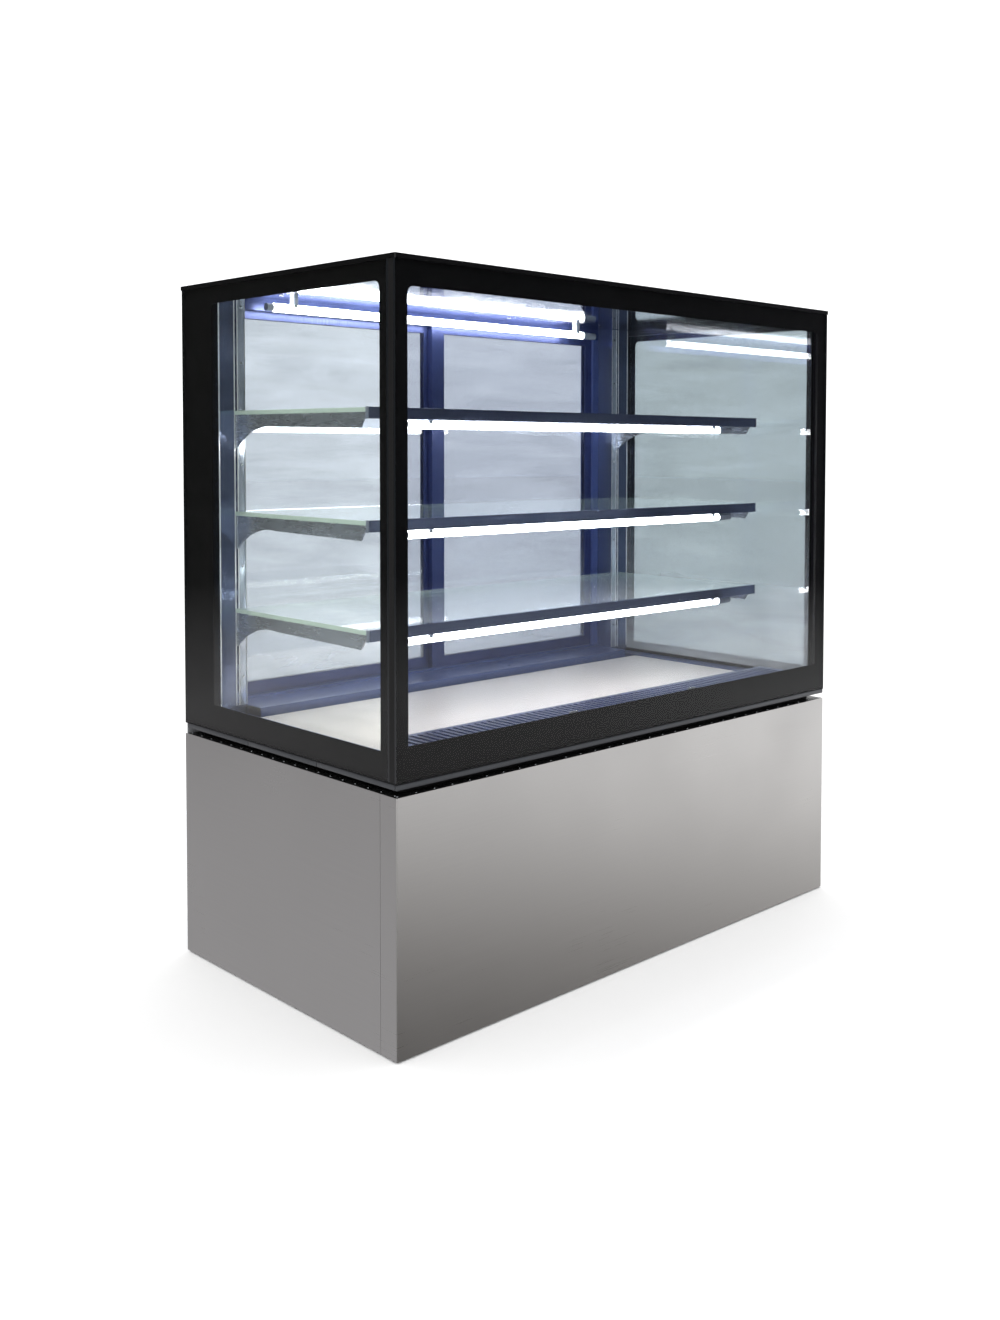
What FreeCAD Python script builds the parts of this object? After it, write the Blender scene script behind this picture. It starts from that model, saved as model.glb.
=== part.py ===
import FreeCAD, Part
import math
import os
import re

import Sketcher

# Refrigerated bakery display case, in millimetres.
# Origin: centre of the footprint on the floor. +X to the right as the customer sees it,
# -Y towards the customer, +Z up. The sliding doors are on the operator's side, at +Y.

SIZES = {
    # whole case
    "case_width": 1200,
    "case_depth": 700,
    "case_height": 1330,
    "base_height": 443,
    "gap_height": 21,
    "gap_inset": 27,
    # base panels
    "sheet_thick": 1.2,
    "skirt_clear": 3,
    "seam_wrap": 45,
    "seam_gap": 0.6,
    "seam_lap": 10,
    "bend_radius": 2.5,
    "rear_inset": 4,
    "panel_fit": 0.3,
    "pan_fit": 0.5,
    # base frame, floor pan and feet
    "pan_level": 30,
    "pan_thick": 1.5,
    "pan_lip": 20,
    "foot_radius": 20,
    "foot_height": 8,
    "foot_stem": 6,
    "foot_inset": 70,
    "jam_nut_radius": 9,
    "jam_nut_height": 6,
    # ventilated ledge round the shadow gap
    "vent_radius": 2.5,
    "vent_pitch": 14,
    # insulated tub and what lies in it
    "tub_depth": 184,
    "tub_wall": 45,
    "drain_radius": 11,
    "drain_bore": 9,
    "drain_x": -300,
    "drain_y": -40,
    "coil_width": 760,
    "coil_height": 100,
    "coil_depth": 130,
    "coil_y": 130,
    "fin_pitch": 12,
    "fin_thick": 3,
    "pipe_radius": 5,
    "fan_plate_thick": 2,
    "fan_plate_y": 30,
    "evaporator_fan_radius": 48,
    "evaporator_fan_x": 230,
    "fan_tip_clear": 4,
    # glass units
    "unit_thick": 24,
    "pane_thick": 5,
    "enamel_thick": 0.4,
    "edge_seal": 18,
    "glazing_gap": 0.3,
    "front_border_side": 28,
    "front_border_foot": 57,
    "front_border_head": 42,
    "side_border_front": 26,
    "side_border_rear": 104,
    "side_border_foot": 46,
    "side_border_head": 32,
    "window_radius": 13,
    "channel_floor": 3,
    "channel_reach": 40,
    "channel_wall": 4,
    "channel_rise": 30,
    # roof
    "top_thick": 8,
    "top_overhang": 2,
    "liner_thick": 4,
    # deck, grille and trims
    "deck_margin": 41,
    "deck_rise": 24,
    "deck_thick": 8,
    "deck_flange": 6,
    "grille_depth": 106,
    "grille_rise": 44,
    "grille_thick": 2,
    "grille_slot": 8,
    "grille_pitch": 16,
    "grille_rim": 12,
    "ledge_gap": 20,
    "ledge_depth": 100,
    "ledge_rise": 38,
    "ledge_fold": 2,
    "trim_rise": 26,
    "trim_gap": 0.5,
    # door frame at the back
    "rear_frame_depth": 45,
    "header_height": 30,
    "header_groove": 16,
    "sill_height": 43,
    "sill_groove": 10,
    "jamb_width": 76,
    "jamb_pocket": 14,
    "jamb_wall": 3,
    # sliding doors
    "door_thick": 14,
    "door_gap": 2,
    "track_clear": 0.5,
    "door_lift": 0.3,
    "door_head_bite": 12,
    "door_overlap": 24,
    "stile_width": 35,
    "door_foot_rail": 34,
    "door_head_rail": 28,
    "door_pane": 8,
    "pane_bite": 6,
    "pull_length": 110,
    "pull_width": 13,
    "pull_depth": 8,
    "pull_level": 880,
    # shelf uprights, brackets, shelves and their front rails
    "upright_width": 58,
    "upright_depth": 50,
    "upright_wall": 2,
    "slot_width": 4,
    "slot_height": 14,
    "slot_pitch": 25,
    "bracket_inset": 38,
    "bracket_thick": 3,
    "bracket_root": 67,
    "bracket_waist": 24,
    "bracket_tip": 28,
    "bracket_reach": 441,
    "waist_reach": 145,
    "tip_slant": 21,
    "root_radius": 190,
    "lower_level": 688,
    "middle_level": 880,
    "upper_level": 1078,
    "shelf_thick": 8,
    "shelf_overhang": 3,
    "rail_height": 21,
    "rail_thick": 7,
    "rail_lip": 16,
    "rail_lip_thick": 1.5,
    # lamps
    "lamp_half": 450,
    "shelf_lamp_radius": 7.5,
    "ceiling_lamp_radius": 8.5,
    "ceiling_lamp_drop": 22,
    "ceiling_lamp_inset": 39,
    "lamp_cap": 14,
    "holder_x": 400,
    "holder_width": 9,
    "holder_fit": 0.2,
    # refrigeration unit in the base
    "mount_radius": 12,
    "mount_height": 14,
    "compressor_x": -60,
    "compressor_y": 150,
    "compressor_radius": 78,
    "compressor_height": 165,
    "compressor_dome": 34,
    "compressor_foot_x": 95,
    "compressor_foot_y": 70,
    "compressor_plate": 3,
    "condenser_x": 320,
    "condenser_width": 300,
    "condenser_height": 200,
    "condenser_depth": 60,
    "condenser_inset": 80,
    "shroud_depth": 24,
    "shroud_wall": 2,
    "condenser_fan_radius": 88,
    "hub_radius": 20,
    "hub_depth": 22,
    "blade_depth": 26,
    "blade_thick": 2,
    "blade_angle": 28,
    "motor_radius": 32,
    "motor_depth": 46,
    "motor_gap": 3,
    "shaft_radius": 4,
    "shaft_fit": 0.3,
    "drier_radius": 14,
    "drier_length": 110,
    "tray_half_x": 120,
    "tray_half_y": 110,
    "tray_height": 34,
    "tray_wall": 1.5,
    "tray_drop": 20,
    # electrics
    "control_box_x": -430,
    "control_box_inset": 80,
    "control_box_width": 180,
    "control_box_depth": 110,
    "control_box_height": 140,
    "controls_level": 228,
    "controller_x": -440,
    "controller_width": 71,
    "controller_height": 29,
    "controller_depth": 58,
    "bezel_rim": 3,
    "bezel_thick": 2.5,
    "display_width": 30,
    "display_height": 14,
    "display_depth": 1.5,
    "button_width": 6,
    "button_height": 4,
    "button_proud": 0.9,
    "button_depth": 3,
    "button_travel": 0.8,
    "button_fit": 0.3,
    "button_pitch_x": 9,
    "button_pitch_z": 11,
    "light_switch_x": -350,
    "power_switch_x": -315,
    "switch_width": 13,
    "switch_height": 21,
    "switch_depth": 12,
    "switch_rim": 2,
    "switch_proud": 1.6,
    "switch_fit": 0.8,
    "switch_tilt": 8,
    "inlet_x": -250,
    "inlet_width": 30,
    "inlet_height": 24,
    "inlet_depth": 26,
    "inlet_recess": 18,
    "inlet_pin": 2,
    # louvres in the rear panel
    "louvre_x": 320,
    "louvre_width": 150,
    "louvre_slot": 8,
    "louvre_pitch": 18,
    "louvre_hood": 7,
    "louvre_low": 60,
    "louvre_high": 196,
    # screws
    "screw_radius": 4,
    "screw_head": 1.4,
    "screw_step": 200,
}

BUTTONS = {
    "set_button": (-1, -1),
    "defrost_button": (1, -1),
    "down_button": (-1, 1),
    "up_button": (1, 1),
}
FAN_BLADES = 5
SIDES = {"left": -1, "right": 1}
LEVELS = ("lower_level", "middle_level", "upper_level")

# Places worked out from the sizes, as formulas that the sheet's cells fill in.
HALF_WIDTH = "(case_width / 2)"
FRONT = "(-case_depth / 2)"
REAR = "(case_depth / 2)"
TUB_HALF = "(case_width / 2 - gap_inset)"
TUB_FRONT = "(gap_inset - case_depth / 2)"
TUB_REAR = "(case_depth / 2 - rear_inset - gap_inset)"
CABIN_FLOOR = "(base_height + gap_height)"
TUB_FLOOR = "(base_height + gap_height - tub_depth)"
WELL_FLOOR = "(base_height + gap_height - tub_depth + tub_wall)"
PANEL_BACK = "(case_depth / 2 - rear_inset)"
PANEL_HALF = "(case_width / 2 - sheet_thick)"
FRAME_FRONT = "(sheet_thick - case_depth / 2)"
FRAME_REAR = "(case_depth / 2 - rear_inset - sheet_thick)"
RING_TOP = "(base_height - sheet_thick)"
FRAME_BAR = "(gap_inset - sheet_thick - pan_fit - pan_thick - panel_fit)"
RING_LOW = f"({RING_TOP} - {FRAME_BAR})"
GLASS_FOOT = "(base_height + gap_height + channel_floor)"
GLASS_HEAD = "(case_height - top_thick)"
INNER_HALF = "(case_width / 2 - unit_thick)"
INNER_FRONT = "(unit_thick - case_depth / 2)"
WALL_HALF = "(case_width / 2 - unit_thick - glazing_gap)"
WALL_FRONT = "(unit_thick + glazing_gap - case_depth / 2)"
CEILING = "(case_height - top_thick - liner_thick)"
FRAME_FACE = "(case_depth / 2 - rear_frame_depth)"
SILL_TOP = "(base_height + gap_height + sill_height)"
HEADER_LOW = "(case_height - top_thick - header_height)"
JAMB_HALF = "(case_width / 2 - unit_thick - jamb_width)"
CONDENSER_Y = "(case_depth / 2 - condenser_inset)"
CONTROL_BOX_Y = "(case_depth / 2 - control_box_inset)"
UPRIGHT_FACE = "(case_depth / 2 - rear_frame_depth - upright_depth)"
DECK_HALF = "(case_width / 2 - unit_thick - deck_margin)"
GRILLE_FRONT = "(unit_thick + glazing_gap + channel_wall + trim_gap - case_depth / 2)"
DECK_FRONT = f"({GRILLE_FRONT} + grille_depth)"
LEDGE_FRONT = f"({FRAME_FACE} - trim_gap - ledge_depth)"
DECK_REAR = f"({LEDGE_FRONT} - ledge_gap)"
BRACKET_PLANE = "(case_width / 2 - unit_thick - bracket_inset)"
SHELF_HALF = "(case_width / 2 - unit_thick - bracket_inset + shelf_overhang)"
SHELF_FRONT = f"({UPRIGHT_FACE} - bracket_reach)"
FAR = "(2 * case_height)"


# ---------------------------------------------------------------- building blocks

def cells(formula):
    """Point every size name in a formula at its cell in the sheet."""
    return re.sub(r"[a-z_]{3,}", r"Sizes.\g<0>", str(formula))


def number(formula):
    """The value that a formula has with the sizes as they are."""
    return float(SHEET.evalExpression(cells(formula)))


def bind_place(item, place):
    """Tie an object's position to three formulas."""
    for axis, formula in zip("xyz", place):
        item.setExpression(f"Placement.Base.{axis}", cells(formula))


def box(name, x_span, y_span, z_span):
    """A block between a low and a high formula along each axis."""
    item = DOC.addObject("Part::Box", name)
    for side, (low, high) in zip(("Length", "Width", "Height"), (x_span, y_span, z_span)):
        item.setExpression(side, cells(f"({high}) - ({low})"))
    bind_place(item, (x_span[0], y_span[0], z_span[0]))
    return item


def centred(middle, size):
    """A span of one size about its middle."""
    return (f"({middle}) - ({size}) / 2", f"({middle}) + ({size}) / 2")


def both_ways(half):
    """A span that reaches as far left as right."""
    return (f"-({half})", f"({half})")


def side_span(side, near, far):
    """A span from near to far, on the left of the middle when side is -1."""
    if side > 0:
        return (near, far)
    return (f"-({far})", f"-({near})")


ALONG = {
    "x": FreeCAD.Rotation(FreeCAD.Vector(0, 1, 0), 90),
    "y": FreeCAD.Rotation(FreeCAD.Vector(1, 0, 0), -90),
    "z": FreeCAD.Rotation(),
}


def rod(name, start, radius, length, along):
    """A round bar that runs from its start along one axis."""
    item = DOC.addObject("Part::Cylinder", name)
    item.Placement = FreeCAD.Placement(FreeCAD.Vector(), ALONG[along])
    item.setExpression("Radius", cells(radius))
    item.setExpression("Height", cells(length))
    bind_place(item, start)
    return item


def fuse(name, pieces):
    """Several shapes welded into one solid."""
    item = DOC.addObject("Part::MultiFuse", name)
    item.Shapes = pieces
    item.Refine = True
    return item


def group(name, pieces):
    """Separate solids that share one node."""
    item = DOC.addObject("Part::Compound", name)
    item.Links = pieces
    return item


def cut(name, base, tools):
    """A shape with other shapes taken out of it."""
    item = DOC.addObject("Part::Cut", name)
    item.Base = base
    item.Tool = tools[0] if len(tools) == 1 else group(f"{name}_cutters", tools)
    item.Refine = True
    return item


def rounded(name, base, radius, wanted):
    """A shape with the chosen edges rounded."""
    DOC.recompute()
    size = number(radius)
    item = DOC.addObject("Part::Fillet", name)
    item.Base = base
    edges = enumerate(base.Shape.Edges, start=1)
    item.Edges = [(index, size, size) for index, edge in edges if wanted(edge)]
    return item


def runs_along(edge, axis):
    """Whether an edge is straight and parallel to an axis."""
    if not isinstance(edge.Curve, Part.Line):
        return False
    return abs(getattr(edge.Curve.Direction, axis)) > 0.999


def steps(count, pitch):
    """Formulas for evenly spaced offsets about a middle."""
    return [f"({index} - ({count} - 1) / 2) * {pitch}" for index in range(count)]


def fits(room, pitch):
    """How many steps of one pitch go into a length."""
    return max(1, int(number(room) / number(pitch)))


def outline(body, name, role, points, arcs=None):
    """A closed sketch on one of a body's own planes. Each corner is placed by two bound
    distances. arcs gives the bound radius of a side that is an arc, by its number."""
    arcs = arcs or {}
    sketch = body.newObject("Sketcher::SketchObject", name)
    plane = next(item for item in body.Origin.OriginFeatures if item.Role == role)
    sketch.AttachmentSupport = [(plane, "")]
    sketch.MapMode = "FlatFace"
    corners = [FreeCAD.Vector(number(across), number(up), 0) for across, up in points]
    turns = {}
    for side, start in enumerate(corners):
        end = corners[(side + 1) % len(corners)]
        if side in arcs:
            arc, turns[side] = hollow_arc(start, end, number(arcs[side]))
            sketch.addGeometry(arc)
        else:
            sketch.addGeometry(Part.LineSegment(start, end))
    for side, place in enumerate(points):
        following = (side + 1) % len(points)
        first, last = turns.get(side, (1, 2))
        next_first = turns.get(following, (1, 2))[0]
        sketch.addConstraint(Sketcher.Constraint("Coincident", side, last, following, next_first))
        for kind, formula in zip(("DistanceX", "DistanceY"), place):
            held = sketch.addConstraint(Sketcher.Constraint(kind, -1, 1, side, first, number(formula)))
            sketch.setExpression(f"Constraints[{held}]", cells(formula))
    for side, radius in arcs.items():
        held = sketch.addConstraint(Sketcher.Constraint("Radius", side, number(radius)))
        sketch.setExpression(f"Constraints[{held}]", cells(radius))
    return sketch


def hollow_arc(start, end, radius):
    """An arc between two corners that bows up into the piece, and which of its own ends
    is the first corner and which the last."""
    chord = end - start
    middle = (start + end) * 0.5
    sag = math.sqrt(radius ** 2 - (chord.Length / 2) ** 2)
    across = FreeCAD.Vector(-chord.y, chord.x, 0).normalize()
    if across.y > 0:
        across = across * -1
    centre = middle + across * sag
    angles = sorted(math.atan2(spot.y - centre.y, spot.x - centre.x) for spot in (start, end))
    circle = Part.Circle(centre, FreeCAD.Vector(0, 0, 1), radius)
    arc = Part.ArcOfCircle(circle, angles[0], angles[1])
    begins_at_start = arc.StartPoint.distanceToPoint(start) < 0.01
    return arc, (1, 2) if begins_at_start else (2, 1)


def pad(body, sketch, length, both_sides=True):
    """A body's sketch made thick."""
    item = body.newObject("PartDesign::Pad", f"{body.Name}_pad")
    item.Profile = sketch
    item.setExpression("Length", cells(length))
    item.Midplane = both_sides
    return item


def ring(name, outer, inner, z_span):
    """A rectangular ring: outer and inner are each an X span and a Y span."""
    block = box(f"{name}_outside", *outer, z_span)
    hole = box(f"{name}_inside", *inner, (f"{z_span[0]} - 1", f"{z_span[1]} + 1"))
    return cut(name, block, [hole])


# ---------------------------------------------------------------- base

def levelling_feet():
    """Four screw feet with their jam nuts, under the floor pan."""
    pan_under = "pan_level - pan_thick"
    feet = []
    for across in SIDES.values():
        for along in SIDES.values():
            spot = (f"{across} * (case_width / 2 - foot_inset)", f"{along} * (case_depth / 2 - foot_inset)")
            pad_disc = rod("foot_pad", (*spot, "0"), "foot_radius", "foot_height", "z")
            stem = rod("foot_stem_rod", (*spot, "0"), "foot_stem", pan_under, "z")
            nut_start = (*spot, f"{pan_under} - jam_nut_height")
            nut = rod("foot_nut", nut_start, "jam_nut_radius", "jam_nut_height", "z")
            feet.append(fuse("foot", [pad_disc, stem, nut]))
    return group("levelling_feet", feet)


def floor_pan():
    """Folded tray that carries the refrigeration unit."""
    low = "pan_level - pan_thick"
    half = f"({PANEL_HALF} - pan_fit)"
    front = f"({FRAME_FRONT} + pan_fit)"
    rear = f"({FRAME_REAR} - pan_fit)"
    tray = box("pan_tray", both_ways(half), (front, rear), (low, "pan_level + pan_lip"))
    inside = box(
        "pan_inside",
        both_ways(f"{half} - pan_thick"),
        (f"{front} + pan_thick", f"{rear} - pan_thick"),
        ("pan_level", "pan_level + 2 * pan_lip"),
    )
    return cut("floor_pan", tray, [inside])


def base_frame():
    """Welded frame: corner posts, a ring under the ledge and rails under the tub."""
    half = f"({PANEL_HALF} - pan_fit - pan_thick)"
    front = f"({FRAME_FRONT} + pan_fit + pan_thick)"
    rear = f"({FRAME_REAR} - pan_fit - pan_thick)"
    bars = []
    for side in SIDES.values():
        x_span = side_span(side, f"{half} - {FRAME_BAR}", half)
        bars.append(box("front_post", x_span, (front, f"{front} + {FRAME_BAR}"), ("pan_level", RING_TOP)))
        bars.append(box("rear_post", x_span, (f"{rear} - {FRAME_BAR}", rear), ("pan_level", RING_TOP)))
        rail_z = (f"{TUB_FLOOR} - {FRAME_BAR}", TUB_FLOOR)
        bars.append(box("side_rail", x_span, (front, rear), rail_z))
        bars.append(box("side_top", x_span, (front, rear), (RING_LOW, RING_TOP)))
    for y_span in ((front, f"{front} + {FRAME_BAR}"), (f"{rear} - {FRAME_BAR}", rear)):
        bars.append(box("end_top", both_ways(half), y_span, (RING_LOW, RING_TOP)))
    for end in SIDES.values():
        y_span = centred(f"{end} * case_depth / 4", FRAME_BAR)
        bars.append(box("tub_rail", both_ways(half), y_span, (f"{TUB_FLOOR} - {FRAME_BAR}", TUB_FLOOR)))
    return fuse("base_frame", bars)


def front_panel():
    """Brushed sheet across the front, bent round both corners."""
    wrap = f"{FRONT} + seam_wrap"
    z_span = ("skirt_clear", "base_height")
    block = box("panel_block", both_ways(HALF_WIDTH), (FRONT, wrap), z_span)
    front = number(FRONT)

    def outer_corner(edge):
        return runs_along(edge, "z") and abs(edge.Vertexes[0].Y - front) < 0.01

    outside = rounded("panel_bent", block, "bend_radius", outer_corner)
    inner = box(
        "panel_inner",
        both_ways(PANEL_HALF),
        (FRAME_FRONT, f"{wrap} + sheet_thick"),
        ("skirt_clear - 1", "base_height + 1"),
    )
    inner_front = number(FRAME_FRONT)

    def inner_corner(edge):
        return runs_along(edge, "z") and abs(edge.Vertexes[0].Y - inner_front) < 0.01

    inside = rounded("panel_hollow", inner, "bend_radius - sheet_thick", inner_corner)
    return cut("front_panel", outside, [inside])


def side_panel(name, side):
    """Brushed sheet on one side, lapped behind the front panel's return."""
    start = f"({FRONT} + seam_wrap + seam_gap)"
    z_span = ("skirt_clear", "base_height")
    sheet = box("side_sheet", side_span(side, PANEL_HALF, HALF_WIDTH), (start, REAR), z_span)
    lap_x = side_span(side, f"{PANEL_HALF} - sheet_thick", PANEL_HALF)
    above_pan = ("pan_level + pan_lip + seam_gap", RING_LOW)
    lap = box("side_lap", lap_x, (f"{start} - seam_lap", f"{start} + seam_lap"), above_pan)
    return fuse(name, [sheet, lap])


def rear_openings():
    """Cut-outs for the controller, the switches and the power inlet."""
    through = (f"{PANEL_BACK} - 2 * sheet_thick", f"{PANEL_BACK} + sheet_thick")
    spots = (
        ("controller_x", "controller_width", "controller_height"),
        ("light_switch_x", "switch_width", "switch_height"),
        ("power_switch_x", "switch_width", "switch_height"),
        ("inlet_x", "inlet_width", "inlet_height"),
    )
    return [
        box("rear_opening", centred(middle, width), through, centred("controls_level", height))
        for middle, width, height in spots
    ]


def louvre_levels():
    """Heights of the louvres' lower edges."""
    count = fits("louvre_high - louvre_low", "louvre_pitch")
    return [f"louvre_low + {index} * louvre_pitch" for index in range(count)]


def louvre_banks():
    """Middles of the louvre banks along X: two behind the condenser, two opposite."""
    return [f"{side} * louvre_x + {half} * louvre_width * 0.6" for side in (-1, 1) for half in (-1, 1)]


def louvre_hood(middle, level):
    """A sloping hood pressed inwards above one slot."""
    body = DOC.addObject("PartDesign::Body", "louvre_hood")
    back = f"{PANEL_BACK} - sheet_thick"
    root = f"{back} + sheet_thick / 2"
    points = (
        (root, f"{level} + louvre_slot + 2 * sheet_thick"),
        (root, f"{level} + louvre_slot"),
        (f"{back} - louvre_hood", level),
        (f"{back} - louvre_hood", f"{level} + 2 * sheet_thick"),
    )
    pad(body, outline(body, "louvre_outline", "YZ_Plane", points), "louvre_width")
    body.setExpression("Placement.Base.x", cells(middle))
    return body


def rear_service_panel():
    """Screwed-on panel with louvres for the condenser's air."""
    sheet = box(
        "rear_sheet",
        both_ways(f"{PANEL_HALF} - panel_fit"),
        (f"{PANEL_BACK} - sheet_thick", PANEL_BACK),
        ("skirt_clear", CABIN_FLOOR),
    )
    through = (f"{PANEL_BACK} - 2 * sheet_thick", f"{PANEL_BACK} + sheet_thick")
    slots = []
    hoods = []
    for middle in louvre_banks():
        for level in louvre_levels():
            z_span = (level, f"{level} + louvre_slot")
            slots.append(box("louvre_cut", centred(middle, "louvre_width"), through, z_span))
            hoods.append(louvre_hood(middle, level))
    pierced = cut("rear_pierced", sheet, slots + rear_openings())
    return fuse("rear_service_panel", [pierced, *hoods])


def vent_ledge():
    """Black ledge at the foot of the shadow gap, pierced with a row of round air holes."""
    outer = (both_ways(f"{PANEL_HALF} - pan_fit"), (f"{FRAME_FRONT} + pan_fit", FRAME_REAR))
    inner = (both_ways(f"{TUB_HALF} + panel_fit"), (f"{TUB_FRONT} - panel_fit", f"{TUB_REAR} + panel_fit"))
    strip = ring("ledge_strip", outer, inner, (RING_TOP, "base_height"))
    middle = "(gap_inset / 2)"
    low = f"{RING_TOP} - sheet_thick"
    height = "3 * sheet_thick"
    holes = []
    for offset in steps(fits(f"2 * {TUB_HALF}", "vent_pitch"), "vent_pitch"):
        spot = (offset, f"{FRONT} + {middle}", low)
        holes.append(rod("vent_hole", spot, "vent_radius", height, "z"))
    for side in SIDES.values():
        for offset in steps(fits(f"{TUB_REAR} - {TUB_FRONT}", "vent_pitch"), "vent_pitch"):
            spot = (f"{side} * ({HALF_WIDTH} - {middle})", offset, low)
            holes.append(rod("vent_hole", spot, "vent_radius", height, "z"))
    return cut("vent_ledge", strip, holes)


# ---------------------------------------------------------------- refrigeration unit

def compressor_mounts():
    """Rubber grommets under the compressor's plate."""
    mounts = []
    for across in SIDES.values():
        for along in SIDES.values():
            spot = (
                f"compressor_x + {across} * compressor_foot_x",
                f"compressor_y + {along} * compressor_foot_y",
                "pan_level",
            )
            mounts.append(rod("mount", spot, "mount_radius", "mount_height", "z"))
    return group("compressor_mounts", mounts)


def compressor():
    """Hermetic compressor: domed shell, base plate, terminal cover and stubs."""
    plate_low = "(pan_level + mount_height)"
    shell_low = f"({plate_low} + compressor_plate)"
    spot = ("compressor_x", "compressor_y", shell_low)
    can = rod("can", spot, "compressor_radius", "compressor_height", "z")
    shell = rounded("can_shell", can, "compressor_dome", lambda edge: isinstance(edge.Curve, Part.Circle))
    plate = box(
        "compressor_base",
        centred("compressor_x", "2 * compressor_foot_x + 2 * mount_radius"),
        centred("compressor_y", "2 * compressor_foot_y + 2 * mount_radius"),
        (plate_low, shell_low),
    )
    saddle = rod("can_saddle", spot, "compressor_radius * 0.75", "compressor_dome", "z")
    cover_x = ("compressor_x - compressor_radius * 1.25", "compressor_x - compressor_radius * 0.7")
    middle_z = f"{shell_low} + compressor_height / 2"
    cover = box("terminal_cover", cover_x, centred("compressor_y", "compressor_radius * 0.8"),
                centred(middle_z, "compressor_radius * 0.7"))
    return fuse("compressor", [shell, plate, saddle, cover])


def finned_block(name, x_span, y_span, z_span, fins, tube_rows):
    """A coil: end plates, evenly spaced fins and tubes right through them."""
    pieces = []
    thick = "fin_thick"
    count = fits(f"({x_span[1]}) - ({x_span[0]}) - {thick}", fins)
    for index in range(count + 1):
        start = f"{x_span[0]} + (({x_span[1]}) - ({x_span[0]}) - {thick}) * {index} / {count}"
        pieces.append(box("fin", (start, f"{start} + {thick}"), y_span, z_span))
    for row in range(tube_rows):
        part = f"({row} + 0.5) / {tube_rows}"
        height = f"{z_span[0]} + (({z_span[1]}) - ({z_span[0]})) * {part}"
        middle = f"(({y_span[0]}) + ({y_span[1]})) / 2"
        start = (f"{x_span[0]} - pipe_radius", middle, height)
        length = f"({x_span[1]}) - ({x_span[0]}) + 2 * pipe_radius"
        pieces.append(rod("coil_tube", start, "pipe_radius", length, "x"))
    return fuse(name, pieces)


def condenser_coil():
    """Finned coil inside the rear louvres, standing on the floor pan."""
    return finned_block(
        "condenser_coil",
        centred("condenser_x", "condenser_width"),
        centred(CONDENSER_Y, "condenser_depth"),
        ("pan_level", "pan_level + condenser_height"),
        "fin_pitch",
        4,
    )


SHROUD_REAR = f"({CONDENSER_Y} - condenser_depth / 2)"
SHROUD_FRONT = f"({SHROUD_REAR} - shroud_depth)"
FAN_LEVEL = "(pan_level + condenser_height / 2)"
CONDENSER_MOTOR_FACE = f"({SHROUD_FRONT} - blade_depth - motor_gap)"
EVAPORATOR_MOTOR_FACE = "(fan_plate_y - hub_depth / 2 - motor_gap)"


def condenser_shroud():
    """Air box between the coil and its fan, with the motor's cross arm."""
    x_span = centred("condenser_x", "condenser_width")
    z_span = ("pan_level", "pan_level + condenser_height")
    block = box("shroud_block", x_span, (SHROUD_FRONT, SHROUD_REAR), z_span)
    inside = box(
        "shroud_inside",
        centred("condenser_x", "condenser_width - 2 * shroud_wall"),
        (f"{SHROUD_FRONT} + shroud_wall", f"{SHROUD_REAR} + 1"),
        ("pan_level + shroud_wall", "pan_level + condenser_height - shroud_wall"),
    )
    start = ("condenser_x", f"{SHROUD_FRONT} - 1", FAN_LEVEL)
    mouth = rod("shroud_mouth", start, "condenser_fan_radius + fan_tip_clear", "shroud_depth", "y")
    return cut("condenser_shroud", block, [fuse("shroud_space", [inside, mouth])])


def motor_with_arm(name, centre, front, arm_half, arm_seat):
    """A round fan motor on a flat arm with two feet that reach back to the shroud or plate."""
    across, height = centre
    start = (across, f"{front} - motor_depth", height)
    can = rod("motor_can", start, "motor_radius * 0.8", "motor_depth", "y")
    arm_y = (f"{front} - motor_depth - shroud_wall", f"{front} - motor_depth")
    arm = box("motor_arm", centred(across, f"2 * ({arm_half})"), arm_y, centred(height, "motor_radius"))
    feet = []
    for side in SIDES.values():
        edge = f"{across} + {side} * ({arm_half} - shroud_wall / 2)"
        foot_x = centred(edge, "shroud_wall")
        foot_y = (arm_y[0], arm_seat)
        feet.append(box("motor_foot", foot_x, foot_y, centred(height, "motor_radius")))
    return fuse(name, [can, arm, *feet])


def condenser_fan_motor():
    """Motor in front of the shroud's mouth."""
    arm_half = "(condenser_fan_radius + 4 * fan_tip_clear)"
    centre = ("condenser_x", FAN_LEVEL)
    return motor_with_arm("condenser_fan_motor", centre, CONDENSER_MOTOR_FACE, arm_half, SHROUD_FRONT)


def fan(name, centre, middle_y, radius, hub, depth, motor_front):
    """A fan wheel: hub, flat blades at a pitch angle, and the shaft that its motor turns.
    It spins about Y."""
    across, height = centre
    start = (across, f"{middle_y} - {hub[1]} / 2", height)
    shaft_start = f"({motor_front} + shaft_fit)"
    shaft_length = f"{middle_y} - {shaft_start}"
    shaft = rod("fan_shaft", (across, shaft_start, height), "shaft_radius", shaft_length, "y")
    wheel = [rod("hub", start, hub[0], hub[1], "y"), shaft]
    for index in range(FAN_BLADES):
        blade = DOC.addObject("Part::Box", "blade")
        blade.setExpression("Length", cells(f"{radius} - {hub[0]} / 2"))
        blade.setExpression("Width", cells(depth))
        blade.setExpression("Height", cells("blade_thick"))
        centred_blade = FreeCAD.Placement(
            FreeCAD.Vector(number(f"{hub[0]} / 2"), -number(depth) / 2, -number("blade_thick") / 2),
            FreeCAD.Rotation(),
        )
        pitch = FreeCAD.Rotation(FreeCAD.Vector(1, 0, 0), number("blade_angle"))
        turn = FreeCAD.Rotation(FreeCAD.Vector(0, 1, 0), 360 * index / FAN_BLADES)
        seat = FreeCAD.Vector(number(across), number(middle_y), number(height))
        blade.Placement = FreeCAD.Placement(seat, turn * pitch) * centred_blade
        wheel.append(blade)
    return fuse(name, wheel)


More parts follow.
